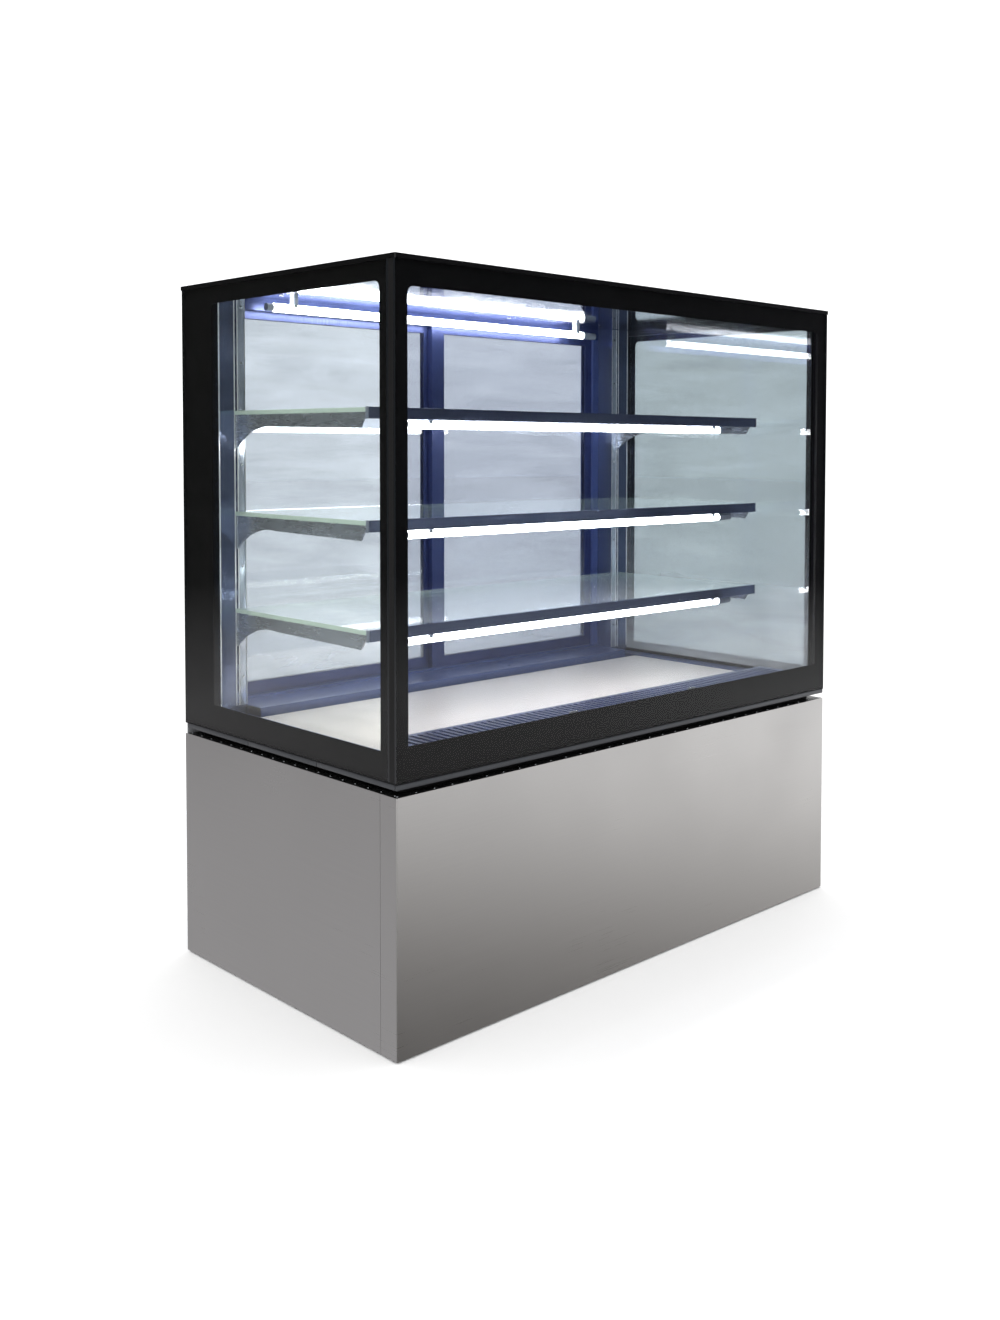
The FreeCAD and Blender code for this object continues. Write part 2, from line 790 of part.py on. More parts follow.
def condenser_fan():
    """Fan that draws air through the condenser."""
    middle = f"({SHROUD_FRONT} - blade_depth / 2 + shroud_wall * 2)"
    hub = ("hub_radius", "hub_depth")
    centre = ("condenser_x", FAN_LEVEL)
    wheel = (hub, "blade_depth", CONDENSER_MOTOR_FACE)
    return fan("condenser_fan", centre, middle, "condenser_fan_radius", *wheel)


def bent_pipe(name, corners, radius):
    """A copper pipe through a list of corners, each joint rounded by a ball."""
    pieces = []
    spots = [FreeCAD.Vector(*(number(part) for part in corner)) for corner in corners]
    for start, end in zip(spots, spots[1:]):
        pieces.append(Part.makeCylinder(radius, (end - start).Length, start, end - start))
    for spot in spots[1:-1]:
        pieces.append(Part.makeSphere(radius, spot))
    shape = pieces[0].multiFuse(pieces[1:]).removeSplitter()
    item = DOC.addObject("Part::Feature", name)
    item.Shape = shape
    return item


def refrigerant_pipes():
    """Discharge pipe from the compressor to the condenser, and suction pipe from the tub."""
    radius = number("pipe_radius")
    top = "pan_level + mount_height + compressor_plate + compressor_height"
    coil_stub = "condenser_x - condenser_width / 2 - pipe_radius"
    coil_left = f"{coil_stub} - 2 * pipe_radius"
    run_y = CONDENSER_Y
    discharge = bent_pipe(
        "discharge_pipe",
        (
            ("compressor_x + compressor_radius", "compressor_y", f"{top} - compressor_height / 2"),
            (coil_left, "compressor_y", f"{top} - compressor_height / 2"),
            (coil_left, run_y, f"{top} - compressor_height / 2"),
            (coil_left, run_y, "pan_level + condenser_height * 7 / 8"),
            (coil_stub, run_y, "pan_level + condenser_height * 7 / 8"),
        ),
        radius,
    )
    suction_y = "compressor_y - compressor_radius - 4 * pipe_radius"
    suction = bent_pipe(
        "suction_pipe",
        (
            ("compressor_x", "compressor_y - compressor_radius", f"{top} - compressor_height / 3"),
            ("compressor_x", suction_y, f"{top} - compressor_height / 3"),
            ("compressor_x", suction_y, TUB_FLOOR),
        ),
        radius,
    )
    return group("refrigerant_pipes", [discharge, suction])


def filter_drier():
    """Copper drier can in the liquid line from the condenser up to the tub."""
    drier_x = "(condenser_x - condenser_width / 2 - 4 * drier_radius)"
    low = "(pan_level + condenser_height / 8)"
    can_low = f"({low} + drier_radius)"
    line_y = f"{CONDENSER_Y} - condenser_depth * 3"
    can = rod("drier_can", (drier_x, line_y, can_low), "drier_radius", "drier_length", "z")
    line = bent_pipe(
        "liquid_line",
        (
            (drier_x, line_y, TUB_FLOOR),
            (drier_x, line_y, low),
            (drier_x, CONDENSER_Y, low),
            ("condenser_x - condenser_width / 2 - pipe_radius", CONDENSER_Y, low),
        ),
        number("pipe_radius"),
    )
    return fuse("filter_drier", [can, line])


def condensate_tray():
    """Open tray that catches the melt water below the drain."""
    x_span = centred("drain_x", "2 * tray_half_x")
    y_span = centred("drain_y", "2 * tray_half_y")
    block = box("tray_block", x_span, y_span, ("pan_level", "pan_level + tray_height"))
    inside = box(
        "tray_inside",
        centred("drain_x", "2 * (tray_half_x - tray_wall)"),
        centred("drain_y", "2 * (tray_half_y - tray_wall)"),
        ("pan_level + tray_wall", "pan_level + tray_height + 1"),
    )
    return cut("condensate_tray", block, [inside])


def drain_pipe():
    """Drain from the tub down to the tray, with a flange under the tub."""
    low = "(pan_level + tray_height - tray_drop)"
    spot = ("drain_x", "drain_y", low)
    pipe = rod("drain_outside", spot, "drain_radius", f"{TUB_FLOOR} - {low}", "z")
    flange_start = ("drain_x", "drain_y", f"{TUB_FLOOR} - 2 * pan_thick")
    flange = rod("drain_flange", flange_start, "2 * drain_radius", "2 * pan_thick", "z")
    bore = rod("drain_inside", ("drain_x", "drain_y", f"{low} - 1"), "drain_bore", FAR, "z")
    return cut("drain_pipe", fuse("drain_body", [pipe, flange]), [bore])


# ---------------------------------------------------------------- electrics

def control_box():
    """Steel box for the wiring, with a lid that stands a little proud."""
    x_span = centred("control_box_x", "control_box_width")
    y_span = centred(CONTROL_BOX_Y, "control_box_depth")
    top = "(pan_level + control_box_height)"
    case = box("wiring_case", x_span, y_span, ("pan_level", f"{top} - 2 * shroud_wall"))
    lid = box(
        "wiring_lid",
        centred("control_box_x", "control_box_width + 2 * shroud_wall"),
        centred(CONTROL_BOX_Y, "control_box_depth + 2 * shroud_wall"),
        (f"{top} - 6 * shroud_wall", top),
    )
    return fuse("control_box", [case, lid])


BEZEL_FACE = "(case_depth / 2 - rear_inset + bezel_thick)"
BUTTON_X = "(controller_x - controller_width / 4)"
DISPLAY_X = "(controller_x + controller_width / 6)"


def button_spot(across, up):
    """Middle of one button on the controller's face."""
    return (f"{BUTTON_X} + {across} * button_pitch_x / 2", f"controls_level + {up} * button_pitch_z / 2")


def controller():
    """Digital temperature controller: body through the panel, bezel outside it."""
    y_body = (f"{PANEL_BACK} - controller_depth", PANEL_BACK)
    body = box("controller_case", centred("controller_x", "controller_width"), y_body,
               centred("controls_level", "controller_height"))
    bezel = box(
        "controller_bezel",
        centred("controller_x", "controller_width + 2 * bezel_rim"),
        (PANEL_BACK, BEZEL_FACE),
        centred("controls_level", "controller_height + 2 * bezel_rim"),
    )
    pockets = [
        box(
            "display_pocket",
            centred(DISPLAY_X, "display_width"),
            (f"{BEZEL_FACE} - display_depth", f"{BEZEL_FACE} + 1"),
            centred("controls_level", "display_height"),
        )
    ]
    for across, up in BUTTONS.values():
        spot_x, spot_z = button_spot(across, up)
        depth = "button_depth + button_travel + 2 * button_fit"
        pockets.append(
            box(
                "button_pocket",
                centred(spot_x, "button_width + 2 * button_fit"),
                (f"{BEZEL_FACE} - ({depth})", f"{BEZEL_FACE} + 1"),
                centred(spot_z, "button_height + 2 * button_fit"),
            )
        )
    return cut("controller", fuse("controller_solid", [body, bezel]), pockets)


def controller_display():
    """Smoked window over the figures."""
    return box(
        "controller_display",
        centred(DISPLAY_X, "display_width"),
        (f"{BEZEL_FACE} - display_depth", BEZEL_FACE),
        centred("controls_level", "display_height"),
    )


def button(name):
    """One push button of the controller."""
    spot_x, spot_z = button_spot(*BUTTONS[name])
    y_span = (f"{BEZEL_FACE} - button_depth", f"{BEZEL_FACE} + button_proud")
    return box(name, centred(spot_x, "button_width"), y_span, centred(spot_z, "button_height"))


SWITCH_FACE = "(case_depth / 2 - rear_inset + bezel_thick)"


def switch_housings():
    """Housings of the lighting switch and the mains switch."""
    housings = []
    for middle in ("light_switch_x", "power_switch_x"):
        case = box(
            "switch_case",
            centred(middle, "switch_width"),
            (f"{SWITCH_FACE} - bezel_thick - 2 * switch_depth", SWITCH_FACE),
            centred("controls_level", "switch_height"),
        )
        rim = box(
            "switch_bezel",
            centred(middle, "switch_width + 2 * switch_rim"),
            (PANEL_BACK, SWITCH_FACE),
            centred("controls_level", "switch_height + 2 * switch_rim"),
        )
        pocket = box(
            "switch_pocket",
            centred(middle, "switch_width - switch_rim"),
            (f"{SWITCH_FACE} - switch_depth", f"{SWITCH_FACE} + 1"),
            centred("controls_level", "switch_height - switch_rim"),
        )
        housings.append(cut("switch_housing", fuse("switch_solid", [case, rim]), [pocket]))
    return group("switch_housings", housings)


def rocker(name, middle):
    """A rocker: a shallow V when seen from the side, tipped about its pivot to the off side."""
    body = DOC.addObject("PartDesign::Body", name)
    half = "(switch_height / 2 - switch_rim / 2 - switch_fit)"
    face = "(switch_depth / 2)"
    points = (
        ("0", f"-{half} / 2"),
        (f"{face} - switch_rim / 2", f"-{half}"),
        (f"{face} + switch_proud", f"-{half} + switch_fit"),
        (f"{face} + switch_proud / 4", "0"),
        (f"{face} + switch_proud", f"{half} - switch_fit"),
        (f"{face} - switch_rim / 2", half),
        ("0", f"{half} / 2"),
    )
    sketch = outline(body, f"{name}_outline", "YZ_Plane", points)
    pad(body, sketch, "switch_width - switch_rim - 2 * switch_fit")
    tilt = FreeCAD.Rotation(FreeCAD.Vector(1, 0, 0), -number("switch_tilt"))
    body.Placement = FreeCAD.Placement(FreeCAD.Vector(), tilt)
    bind_place(body, (middle, f"{SWITCH_FACE} - switch_depth / 2", "controls_level"))
    return body


def power_inlet():
    """Three-pin appliance inlet in the rear panel."""
    flange = box(
        "inlet_flange",
        centred("inlet_x", "inlet_width + 6 * switch_rim"),
        (PANEL_BACK, f"{PANEL_BACK} + bezel_thick"),
        centred("controls_level", "inlet_height + 2 * switch_rim"),
    )
    case = box(
        "inlet_case",
        centred("inlet_x", "inlet_width"),
        (f"{PANEL_BACK} - inlet_depth", PANEL_BACK),
        centred("controls_level", "inlet_height"),
    )
    recess = box(
        "inlet_recess_space",
        centred("inlet_x", "inlet_width - 2 * switch_rim"),
        (f"{PANEL_BACK} + bezel_thick - inlet_recess", f"{PANEL_BACK} + bezel_thick + 1"),
        centred("controls_level", "inlet_height - 2 * switch_rim"),
    )
    shell = cut("inlet_shell", fuse("inlet_solid", [flange, case]), [recess])
    pins = []
    for across, up in ((-1, -1), (0, 1), (1, -1)):
        pins.append(
            box(
                "inlet_blade",
                centred(f"inlet_x + {across} * inlet_width / 4", "inlet_pin"),
                (f"{PANEL_BACK} - inlet_depth / 1.5", PANEL_BACK),
                centred(f"controls_level + {up} * inlet_height / 8", "2 * inlet_pin"),
            )
        )
    return fuse("power_inlet", [shell, *pins])


# ---------------------------------------------------------------- insulated tub

def insulated_tub():
    """Foam-filled tub below the deck, open at the top, with the drain hole in its floor."""
    block = box("tub_block", both_ways(TUB_HALF), (TUB_FRONT, TUB_REAR), (TUB_FLOOR, CABIN_FLOOR))
    well = box(
        "tub_well",
        both_ways(f"{TUB_HALF} - tub_wall"),
        (f"{TUB_FRONT} + tub_wall", f"{TUB_REAR} - tub_wall"),
        (WELL_FLOOR, f"{CABIN_FLOOR} + 1"),
    )
    drain = rod("tub_drain", ("drain_x", "drain_y", f"{TUB_FLOOR} - 1"), "drain_bore", "tub_wall + 2", "z")
    return cut("insulated_tub", block, [fuse("tub_space", [well, drain])])


def evaporator_coil():
    """Finned coil on the floor of the tub."""
    return finned_block(
        "evaporator_coil",
        both_ways("coil_width / 2"),
        centred("coil_y", "coil_depth"),
        (WELL_FLOOR, f"{WELL_FLOOR} + coil_height"),
        "2 * fin_pitch",
        3,
    )


EVAPORATOR_FAN_LEVEL = f"({WELL_FLOOR} + coil_height / 2 + fan_tip_clear)"


def evaporator_fan_plate():
    """Upright plate across the tub with a round mouth for each fan."""
    plate = box(
        "fan_plate_sheet",
        both_ways(f"{TUB_HALF} - tub_wall"),
        ("fan_plate_y", "fan_plate_y + fan_plate_thick"),
        (WELL_FLOOR, CABIN_FLOOR),
    )
    mouths = []
    for side in SIDES.values():
        start = (f"{side} * evaporator_fan_x", "fan_plate_y - 1", EVAPORATOR_FAN_LEVEL)
        mouths.append(
            rod("fan_mouth", start, "evaporator_fan_radius + fan_tip_clear", "fan_plate_thick + 2", "y")
        )
    return cut("evaporator_fan_plate", plate, mouths)


def evaporator_fan(name, side):
    """One of the two fans that blow cold air out of the front grille."""
    centre = (f"({side} * evaporator_fan_x)", EVAPORATOR_FAN_LEVEL)
    hub = ("(hub_radius * 0.7)", "hub_depth")
    middle = "(fan_plate_y + fan_plate_thick / 2)"
    depth = "(blade_depth / 2)"
    return fan(name, centre, middle, "evaporator_fan_radius", hub, depth, EVAPORATOR_MOTOR_FACE)


def evaporator_fan_motors():
    """The two fan motors, on arms from the plate."""
    motors = []
    arm_half = "(evaporator_fan_radius + 3 * fan_tip_clear)"
    for side in SIDES.values():
        centre = (f"({side} * evaporator_fan_x)", EVAPORATOR_FAN_LEVEL)
        face = EVAPORATOR_MOTOR_FACE
        motors.append(motor_with_arm("evaporator_motor", centre, face, arm_half, "fan_plate_y"))
    return group("evaporator_fan_motors", motors)


# ---------------------------------------------------------------- deck and trims

def deck_panel():
    """Pale deck tray that lies over the tub, on two side flanges."""
    top = f"({CABIN_FLOOR} + deck_rise)"
    y_span = (DECK_FRONT, DECK_REAR)
    sheet = box("deck_sheet", both_ways(DECK_HALF), y_span, (f"{top} - deck_thick", top))
    flanges = []
    for side in SIDES.values():
        x_span = side_span(side, f"{DECK_HALF} - deck_flange", DECK_HALF)
        flanges.append(box("deck_side", x_span, y_span, (CABIN_FLOOR, top)))
    return fuse("deck_panel", [sheet, *flanges])


def front_air_grille():
    """Slotted outlet for the cold air, a step above the deck along the front glass."""
    top = f"({CABIN_FLOOR} + grille_rise)"
    y_span = (GRILLE_FRONT, f"{DECK_FRONT} - trim_gap")
    sheet = box("grille_sheet", both_ways(DECK_HALF), y_span, (f"{top} - grille_thick", top))
    lip = box(
        "grille_lip",
        both_ways(DECK_HALF),
        (GRILLE_FRONT, f"{GRILLE_FRONT} + grille_thick"),
        (GLASS_FOOT, top),
    )
    step = box(
        "grille_step",
        both_ways(DECK_HALF),
        (f"{y_span[1]} - grille_thick", y_span[1]),
        (f"{CABIN_FLOOR} + deck_rise - deck_thick", top),
    )
    sides = []
    for side in SIDES.values():
        x_span = side_span(side, f"{DECK_HALF} - grille_thick", DECK_HALF)
        sides.append(box("grille_side", x_span, y_span, (GLASS_FOOT, top)))
    slots = []
    slot_y = (f"{GRILLE_FRONT} + grille_rim", f"{DECK_FRONT} - trim_gap - grille_rim")
    for offset in steps(fits(f"2 * ({DECK_HALF} - grille_rim)", "grille_pitch"), "grille_pitch"):
        z_span = (f"{top} - 2 * grille_thick", f"{top} + 1")
        slots.append(box("grille_opening", centred(offset, "grille_slot"), slot_y, z_span))
    return cut("front_air_grille", fuse("grille_solid", [sheet, lip, step, *sides]), slots)


def deck_trims():
    """Folded trims beside the deck, and the ledge behind it."""
    pieces = []
    trim_top = f"({CABIN_FLOOR} + trim_rise)"
    trim_y = (GRILLE_FRONT, f"{UPRIGHT_FACE} - trim_gap")
    near = f"({DECK_HALF} + trim_gap)"
    far = f"({WALL_HALF} - channel_wall - trim_gap)"
    for side in SIDES.values():
        block = box("trim_block", side_span(side, near, far), trim_y, (GLASS_FOOT, trim_top))
        inside_x = side_span(side, f"{near} + ledge_fold", f"{far} - ledge_fold")
        inside_z = (f"{CABIN_FLOOR} - 1", f"{trim_top} - ledge_fold")
        inside_y = (f"{trim_y[0]} - 1", f"{trim_y[1]} + 1")
        pieces.append(cut("side_trim", block, [box("trim_inside", inside_x, inside_y, inside_z)]))
    ledge_half = f"({INNER_HALF} - upright_width - trim_gap)"
    ledge_top = f"({CABIN_FLOOR} + ledge_rise)"
    ledge_rear = f"({FRAME_FACE} - trim_gap)"
    top_z = (f"{ledge_top} - ledge_fold", ledge_top)
    top = box("ledge_top", both_ways(ledge_half), (LEDGE_FRONT, ledge_rear), top_z)
    front_y = (LEDGE_FRONT, f"{LEDGE_FRONT} + ledge_fold")
    front = box("ledge_front", both_ways(ledge_half), front_y, (f"{CABIN_FLOOR} + deck_flange", ledge_top))
    foot_y = (f"{ledge_rear} - ledge_gap", ledge_rear)
    foot = box("ledge_foot", both_ways(ledge_half), foot_y, (CABIN_FLOOR, ledge_top))
    pieces.append(fuse("rear_ledge", [top, front, foot]))
    return group("deck_trims", pieces)


# ---------------------------------------------------------------- glass

def glass_channel():
    """Extruded channel that the three glass units stand in."""
    floor_z = (CABIN_FLOOR, GLASS_FOOT)
    plate = box("channel_plate", both_ways(HALF_WIDTH), (FRONT, FRAME_FACE), floor_z)
    inner_half = f"{HALF_WIDTH} - channel_reach"
    inner_y = (f"{FRONT} + channel_reach", f"{FRAME_FACE} + 1")
    inner_z = (f"{floor_z[0]} - 1", f"{floor_z[1]} + 1")
    plate_hole = box("channel_hole", both_ways(inner_half), inner_y, inner_z)
    base = cut("channel_base", plate, [plate_hole])
    wall_z = (CABIN_FLOOR, f"{GLASS_FOOT} + channel_rise")
    wall_rear = f"{UPRIGHT_FACE} - trim_gap"
    walls = box("channel_walls", both_ways(WALL_HALF), (WALL_FRONT, wall_rear), wall_z)
    wall_hole = box(
        "channel_well",
        both_ways(f"{WALL_HALF} - channel_wall"),
        (f"{WALL_FRONT} + channel_wall", f"{wall_rear} + 1"),
        (f"{wall_z[0]} - 1", f"{wall_z[1]} + 1"),
    )
    tails = []
    for side in SIDES.values():
        x_span = side_span(side, INNER_HALF, HALF_WIDTH)
        tails.append(box("channel_tail", x_span, (f"{FRAME_FACE} - 1", REAR), floor_z))
    upright = cut("channel_wall_ring", walls, [wall_hole])
    return fuse("glass_channel", [base, upright, *tails])


GLASS_Z = (GLASS_FOOT, GLASS_HEAD)
SIDE_GLASS_Y = (f"{INNER_FRONT} + glazing_gap", REAR)


def front_glass():
    """Outer and inner pane of the front unit, across the full width."""
    outer = box("front_outer_pane", both_ways(HALF_WIDTH), (FRONT, f"{FRONT} + pane_thick"), GLASS_Z)
    inner_y = (f"{INNER_FRONT} - pane_thick", INNER_FRONT)
    inner = box("front_inner_pane", both_ways(HALF_WIDTH), inner_y, GLASS_Z)
    return group("front_glass", [outer, inner])


def side_glass(name, side):
    """Outer and inner pane of one side unit, behind the front unit."""
    outer_x = side_span(side, f"{HALF_WIDTH} - pane_thick", HALF_WIDTH)
    inner_x = side_span(side, INNER_HALF, f"{INNER_HALF} + pane_thick")
    outer = box("side_outer_pane", outer_x, SIDE_GLASS_Y, GLASS_Z)
    inner = box("side_inner_pane", inner_x, SIDE_GLASS_Y, GLASS_Z)
    return group(name, [outer, inner])


def glass_spacers():
    """Edge seals that hold each unit's two panes apart."""
    inner_z = (f"{GLASS_FOOT} + edge_seal", f"{GLASS_HEAD} - edge_seal")
    front_y = (f"{FRONT} + pane_thick + enamel_thick", f"{INNER_FRONT} - pane_thick")
    block = box("front_seal_block", both_ways(HALF_WIDTH), front_y, GLASS_Z)
    space_y = (f"{front_y[0]} - 1", f"{front_y[1]} + 1")
    space = box("front_seal_space", both_ways(f"{HALF_WIDTH} - edge_seal"), space_y, inner_z)
    seals = [cut("front_seal", block, [space])]
    near = f"({INNER_HALF} + pane_thick)"
    far = f"({HALF_WIDTH} - pane_thick - enamel_thick)"
    for side in SIDES.values():
        side_block = box("side_seal_block", side_span(side, near, far), SIDE_GLASS_Y, GLASS_Z)
        side_space = box(
            "side_seal_space",
            side_span(side, f"{near} - 1", f"{far} + 1"),
            (f"{SIDE_GLASS_Y[0]} + edge_seal", f"{REAR} - edge_seal"),
            inner_z,
        )
        seals.append(cut("side_seal", side_block, [side_space]))
    return group("glass_spacers", seals)


def window(name, x_span, y_span, z_span, axis):
    """The clear part inside a border, with its two upper corners rounded."""
    block = box(name, x_span, y_span, z_span)
    top = number(z_span[1])

    def upper_corner(edge):
        return runs_along(edge, axis) and abs(edge.Vertexes[0].Z - top) < 0.01

    return rounded(f"{name}_rounded", block, "window_radius", upper_corner)


def glass_borders():
    """Black enamel borders fired on the inside of the outer panes."""
    front_y = (f"{FRONT} + pane_thick", f"{FRONT} + pane_thick + enamel_thick")
    sheet = box("front_enamel", both_ways(HALF_WIDTH), front_y, GLASS_Z)
    clear = window(
        "front_window",
        both_ways(f"{HALF_WIDTH} - front_border_side"),
        (f"{front_y[0]} - 1", f"{front_y[1]} + 1"),
        (f"{GLASS_FOOT} + front_border_foot", f"{GLASS_HEAD} - front_border_head"),
        "y",
    )
    borders = [cut("front_border", sheet, [clear])]
    near = f"({HALF_WIDTH} - pane_thick - enamel_thick)"
    far = f"({HALF_WIDTH} - pane_thick)"
    for side in SIDES.values():
        side_sheet = box("side_enamel", side_span(side, near, far), SIDE_GLASS_Y, GLASS_Z)
        side_clear = window(
            "side_window",
            side_span(side, f"{near} - 1", f"{far} + 1"),
            (f"{INNER_FRONT} + side_border_front", f"{REAR} - side_border_rear"),
            (f"{GLASS_FOOT} + side_border_foot", f"{GLASS_HEAD} - side_border_head"),
            "x",
        )
        borders.append(cut("side_border", side_sheet, [side_clear]))
    return group("glass_borders", borders)


# ---------------------------------------------------------------- roof

def top_panel():
    """Black roof panel that overhangs the glass a little."""
    block = box(
        "roof_block",
        both_ways(f"{HALF_WIDTH} + top_overhang"),
        both_ways(f"{REAR} + top_overhang"),
        (GLASS_HEAD, "case_height"),
    )
    return rounded("top_panel", block, "bend_radius", lambda edge: runs_along(edge, "z"))


def ceiling_liner():
    """Mirror-polished liner under the roof."""
    y_span = (WALL_FRONT, f"{FRAME_FACE} - trim_gap")
    return box("ceiling_liner", both_ways(WALL_HALF), y_span, (CEILING, GLASS_HEAD))


# ---------------------------------------------------------------- rear frame and doors

INNER_TRACK = "(case_depth / 2 - rear_frame_depth / 2 - door_gap / 2 - door_thick)"
OUTER_TRACK = "(case_depth / 2 - rear_frame_depth / 2 + door_gap / 2)"


def track_grooves(name, x_span, z_span):
    """The two grooves that the doors run in."""
    grooves = []
    for start in (INNER_TRACK, OUTER_TRACK):
        y_span = (f"{start} - track_clear", f"{start} + door_thick + track_clear")
        grooves.append(box(name, x_span, y_span, z_span))
    return grooves


def door_header():
    """Rail over the doors, grooved from below."""
    bar = box("header_bar", both_ways(WALL_HALF), (FRAME_FACE, REAR), (HEADER_LOW, GLASS_HEAD))
    reach = both_ways(f"{JAMB_HALF} + jamb_pocket + track_clear")
    groove_z = (f"{HEADER_LOW} - 1", f"{HEADER_LOW} + header_groove")
    return cut("door_header", bar, track_grooves("header_track", reach, groove_z))


def door_sill():
    """Sill under the doors, grooved from above."""
    bar = box("sill_bar", both_ways(WALL_HALF), (FRAME_FACE, REAR), (CABIN_FLOOR, SILL_TOP))
    reach = both_ways(f"{JAMB_HALF} + jamb_pocket + track_clear")
    groove_z = (f"{SILL_TOP} - sill_groove", f"{SILL_TOP} + 1")
    return cut("door_sill", bar, track_grooves("sill_track", reach, groove_z))


def door_jambs():
    """Hollow jambs at both ends of the doorway, each with a pocket for a door's edge."""
    jambs = []
    z_span = (SILL_TOP, HEADER_LOW)
    past = (f"{SILL_TOP} - 1", f"{HEADER_LOW} + 1")
    for side in SIDES.values():
        bar = box("jamb_bar", side_span(side, JAMB_HALF, WALL_HALF), (FRAME_FACE, REAR), z_span)
        pocket = box(
            "jamb_pocket_space",
            side_span(side, f"{JAMB_HALF} - 1", f"{JAMB_HALF} + jamb_pocket + track_clear"),
            (f"{INNER_TRACK} - track_clear", f"{OUTER_TRACK} + door_thick + track_clear"),
            past,
        )
        hollow_start = f"{JAMB_HALF} + jamb_pocket + track_clear + jamb_wall"
        hollow = box(
            "jamb_hollow",
            side_span(side, hollow_start, f"{WALL_HALF} - jamb_wall"),
            (f"{FRAME_FACE} + jamb_wall", f"{REAR} - jamb_wall"),
            past,
        )
        jambs.append(cut("jamb", bar, [pocket, hollow]))
    return group("door_jambs", jambs)


DOOR_FOOT = f"({SILL_TOP} - sill_groove + door_lift)"
DOOR_HEAD = f"({HEADER_LOW} + door_head_bite)"
DOOR_OUTER = f"({JAMB_HALF} + jamb_pocket)"
DOOR_INNER = "(-door_overlap / 2)"
DOOR_TRACKS = {"left": OUTER_TRACK, "right": INNER_TRACK}


def door_glass_size(side, start):
    """Spans of a door's pane, with the bite that the frame takes of it."""
    bite_edges = (f"{DOOR_INNER} + stile_width - pane_bite", f"{DOOR_OUTER} - stile_width + pane_bite")
    x_span = side_span(side, *bite_edges)
    z_span = (f"{DOOR_FOOT} + door_foot_rail - pane_bite", f"{DOOR_HEAD} - door_head_rail + pane_bite")
    return x_span, centred(f"{start} + door_thick / 2", "door_pane"), z_span


def door_frame(name, side, start):
    """Extruded frame of one sliding door, with a finger pull let into its outer stile."""
    y_span = (start, f"{start} + door_thick")
    slab = box("door_slab", side_span(side, DOOR_INNER, DOOR_OUTER), y_span, (DOOR_FOOT, DOOR_HEAD))
    light = box(
        "door_light",
        side_span(side, f"{DOOR_INNER} + stile_width", f"{DOOR_OUTER} - stile_width"),
        (f"{start} - 1", f"{start} + door_thick + 1"),
        (f"{DOOR_FOOT} + door_foot_rail", f"{DOOR_HEAD} - door_head_rail"),
    )
    rebate = box("door_rebate", *door_glass_size(side, start))
    pull_x = f"{side} * ({JAMB_HALF} + {DOOR_OUTER} - stile_width + pane_bite) / 2"
    pull_y = (f"{start} + door_thick - pull_depth", f"{start} + door_thick + 1")
    pull = box("door_pull", centred(pull_x, "pull_width"), pull_y, centred("pull_level", "pull_length"))
    return cut(name, slab, [fuse("door_space", [light, rebate]), pull])


def door_glass(name, side, start):
    """Pane of one sliding door."""
    return box(name, *door_glass_size(side, start))


# ---------------------------------------------------------------- shelving

def shelf_uprights():
    """Polished channels in the rear corners, each with a column of bracket slots."""
    uprights = []
    z_span = (GLASS_FOOT, CEILING)
    rear = f"({FRAME_FACE} - trim_gap)"
    for side in SIDES.values():
        near = f"({INNER_HALF} - upright_width)"
        bar = box("upright_bar", side_span(side, near, WALL_HALF), (UPRIGHT_FACE, rear), z_span)
        hollow = box(
            "upright_hollow",
            side_span(side, f"{near} + upright_wall", f"{WALL_HALF} - upright_wall"),
            (f"{UPRIGHT_FACE} + upright_wall", f"{rear} + 1"),
            (f"{CABIN_FLOOR} - 1", f"{CEILING} + 1"),
        )
        cutters = [hollow]
        for level in slot_levels():
            cutters.append(
                box(
                    "bracket_slot",
                    centred(f"{side} * {BRACKET_PLANE}", "slot_width"),
                    (f"{UPRIGHT_FACE} - 1", f"{UPRIGHT_FACE} + upright_wall + 1"),
                    (level, f"{level} + slot_height"),
                )
            )
        uprights.append(cut("upright", bar, [fuse("upright_space", cutters)]))
    return group("shelf_uprights", uprights)


def slot_levels():
    """Lower edges of the slots in an upright."""
    first = f"({SILL_TOP} + slot_pitch)"
    count = fits(f"{CEILING} - slot_pitch - {first}", "slot_pitch")
    return [f"{first} + {index} * slot_pitch" for index in range(count)]


def bracket(side, level):
    """Cantilever bracket of sheet steel: deep and curved at the upright, slim to the tip."""
    body = DOC.addObject("PartDesign::Body", "bracket")
    face = UPRIGHT_FACE
    waist = f"{face} - waist_reach"
    tip = f"{face} - bracket_reach"
    points = (
        (face, level),
        (face, f"{level} - bracket_root"),
        (waist, f"{level} - bracket_waist"),
        (f"{tip} + tip_slant", f"{level} - bracket_tip"),
        (tip, level),
    )
    sketch = outline(body, "bracket_outline", "YZ_Plane", points, {1: "root_radius"})
    pad(body, sketch, "bracket_thick")
    body.setExpression("Placement.Base.x", cells(f"{side} * {BRACKET_PLANE}"))
    return body


def shelf_brackets():
    """A pair of brackets for every shelf."""
    return group("shelf_brackets", [bracket(side, level) for level in LEVELS for side in SIDES.values()])


def glass_shelves():
    """Clear toughened shelves that lie on their brackets."""
    shelves = []
    for level in LEVELS:
        y_span = (SHELF_FRONT, f"{UPRIGHT_FACE} - trim_gap")
        shelves.append(box("shelf", both_ways(SHELF_HALF), y_span, (level, f"{level} + shelf_thick")))
    return group("glass_shelves", shelves)


RAIL_RISE = "(shelf_thick + sheet_thick)"


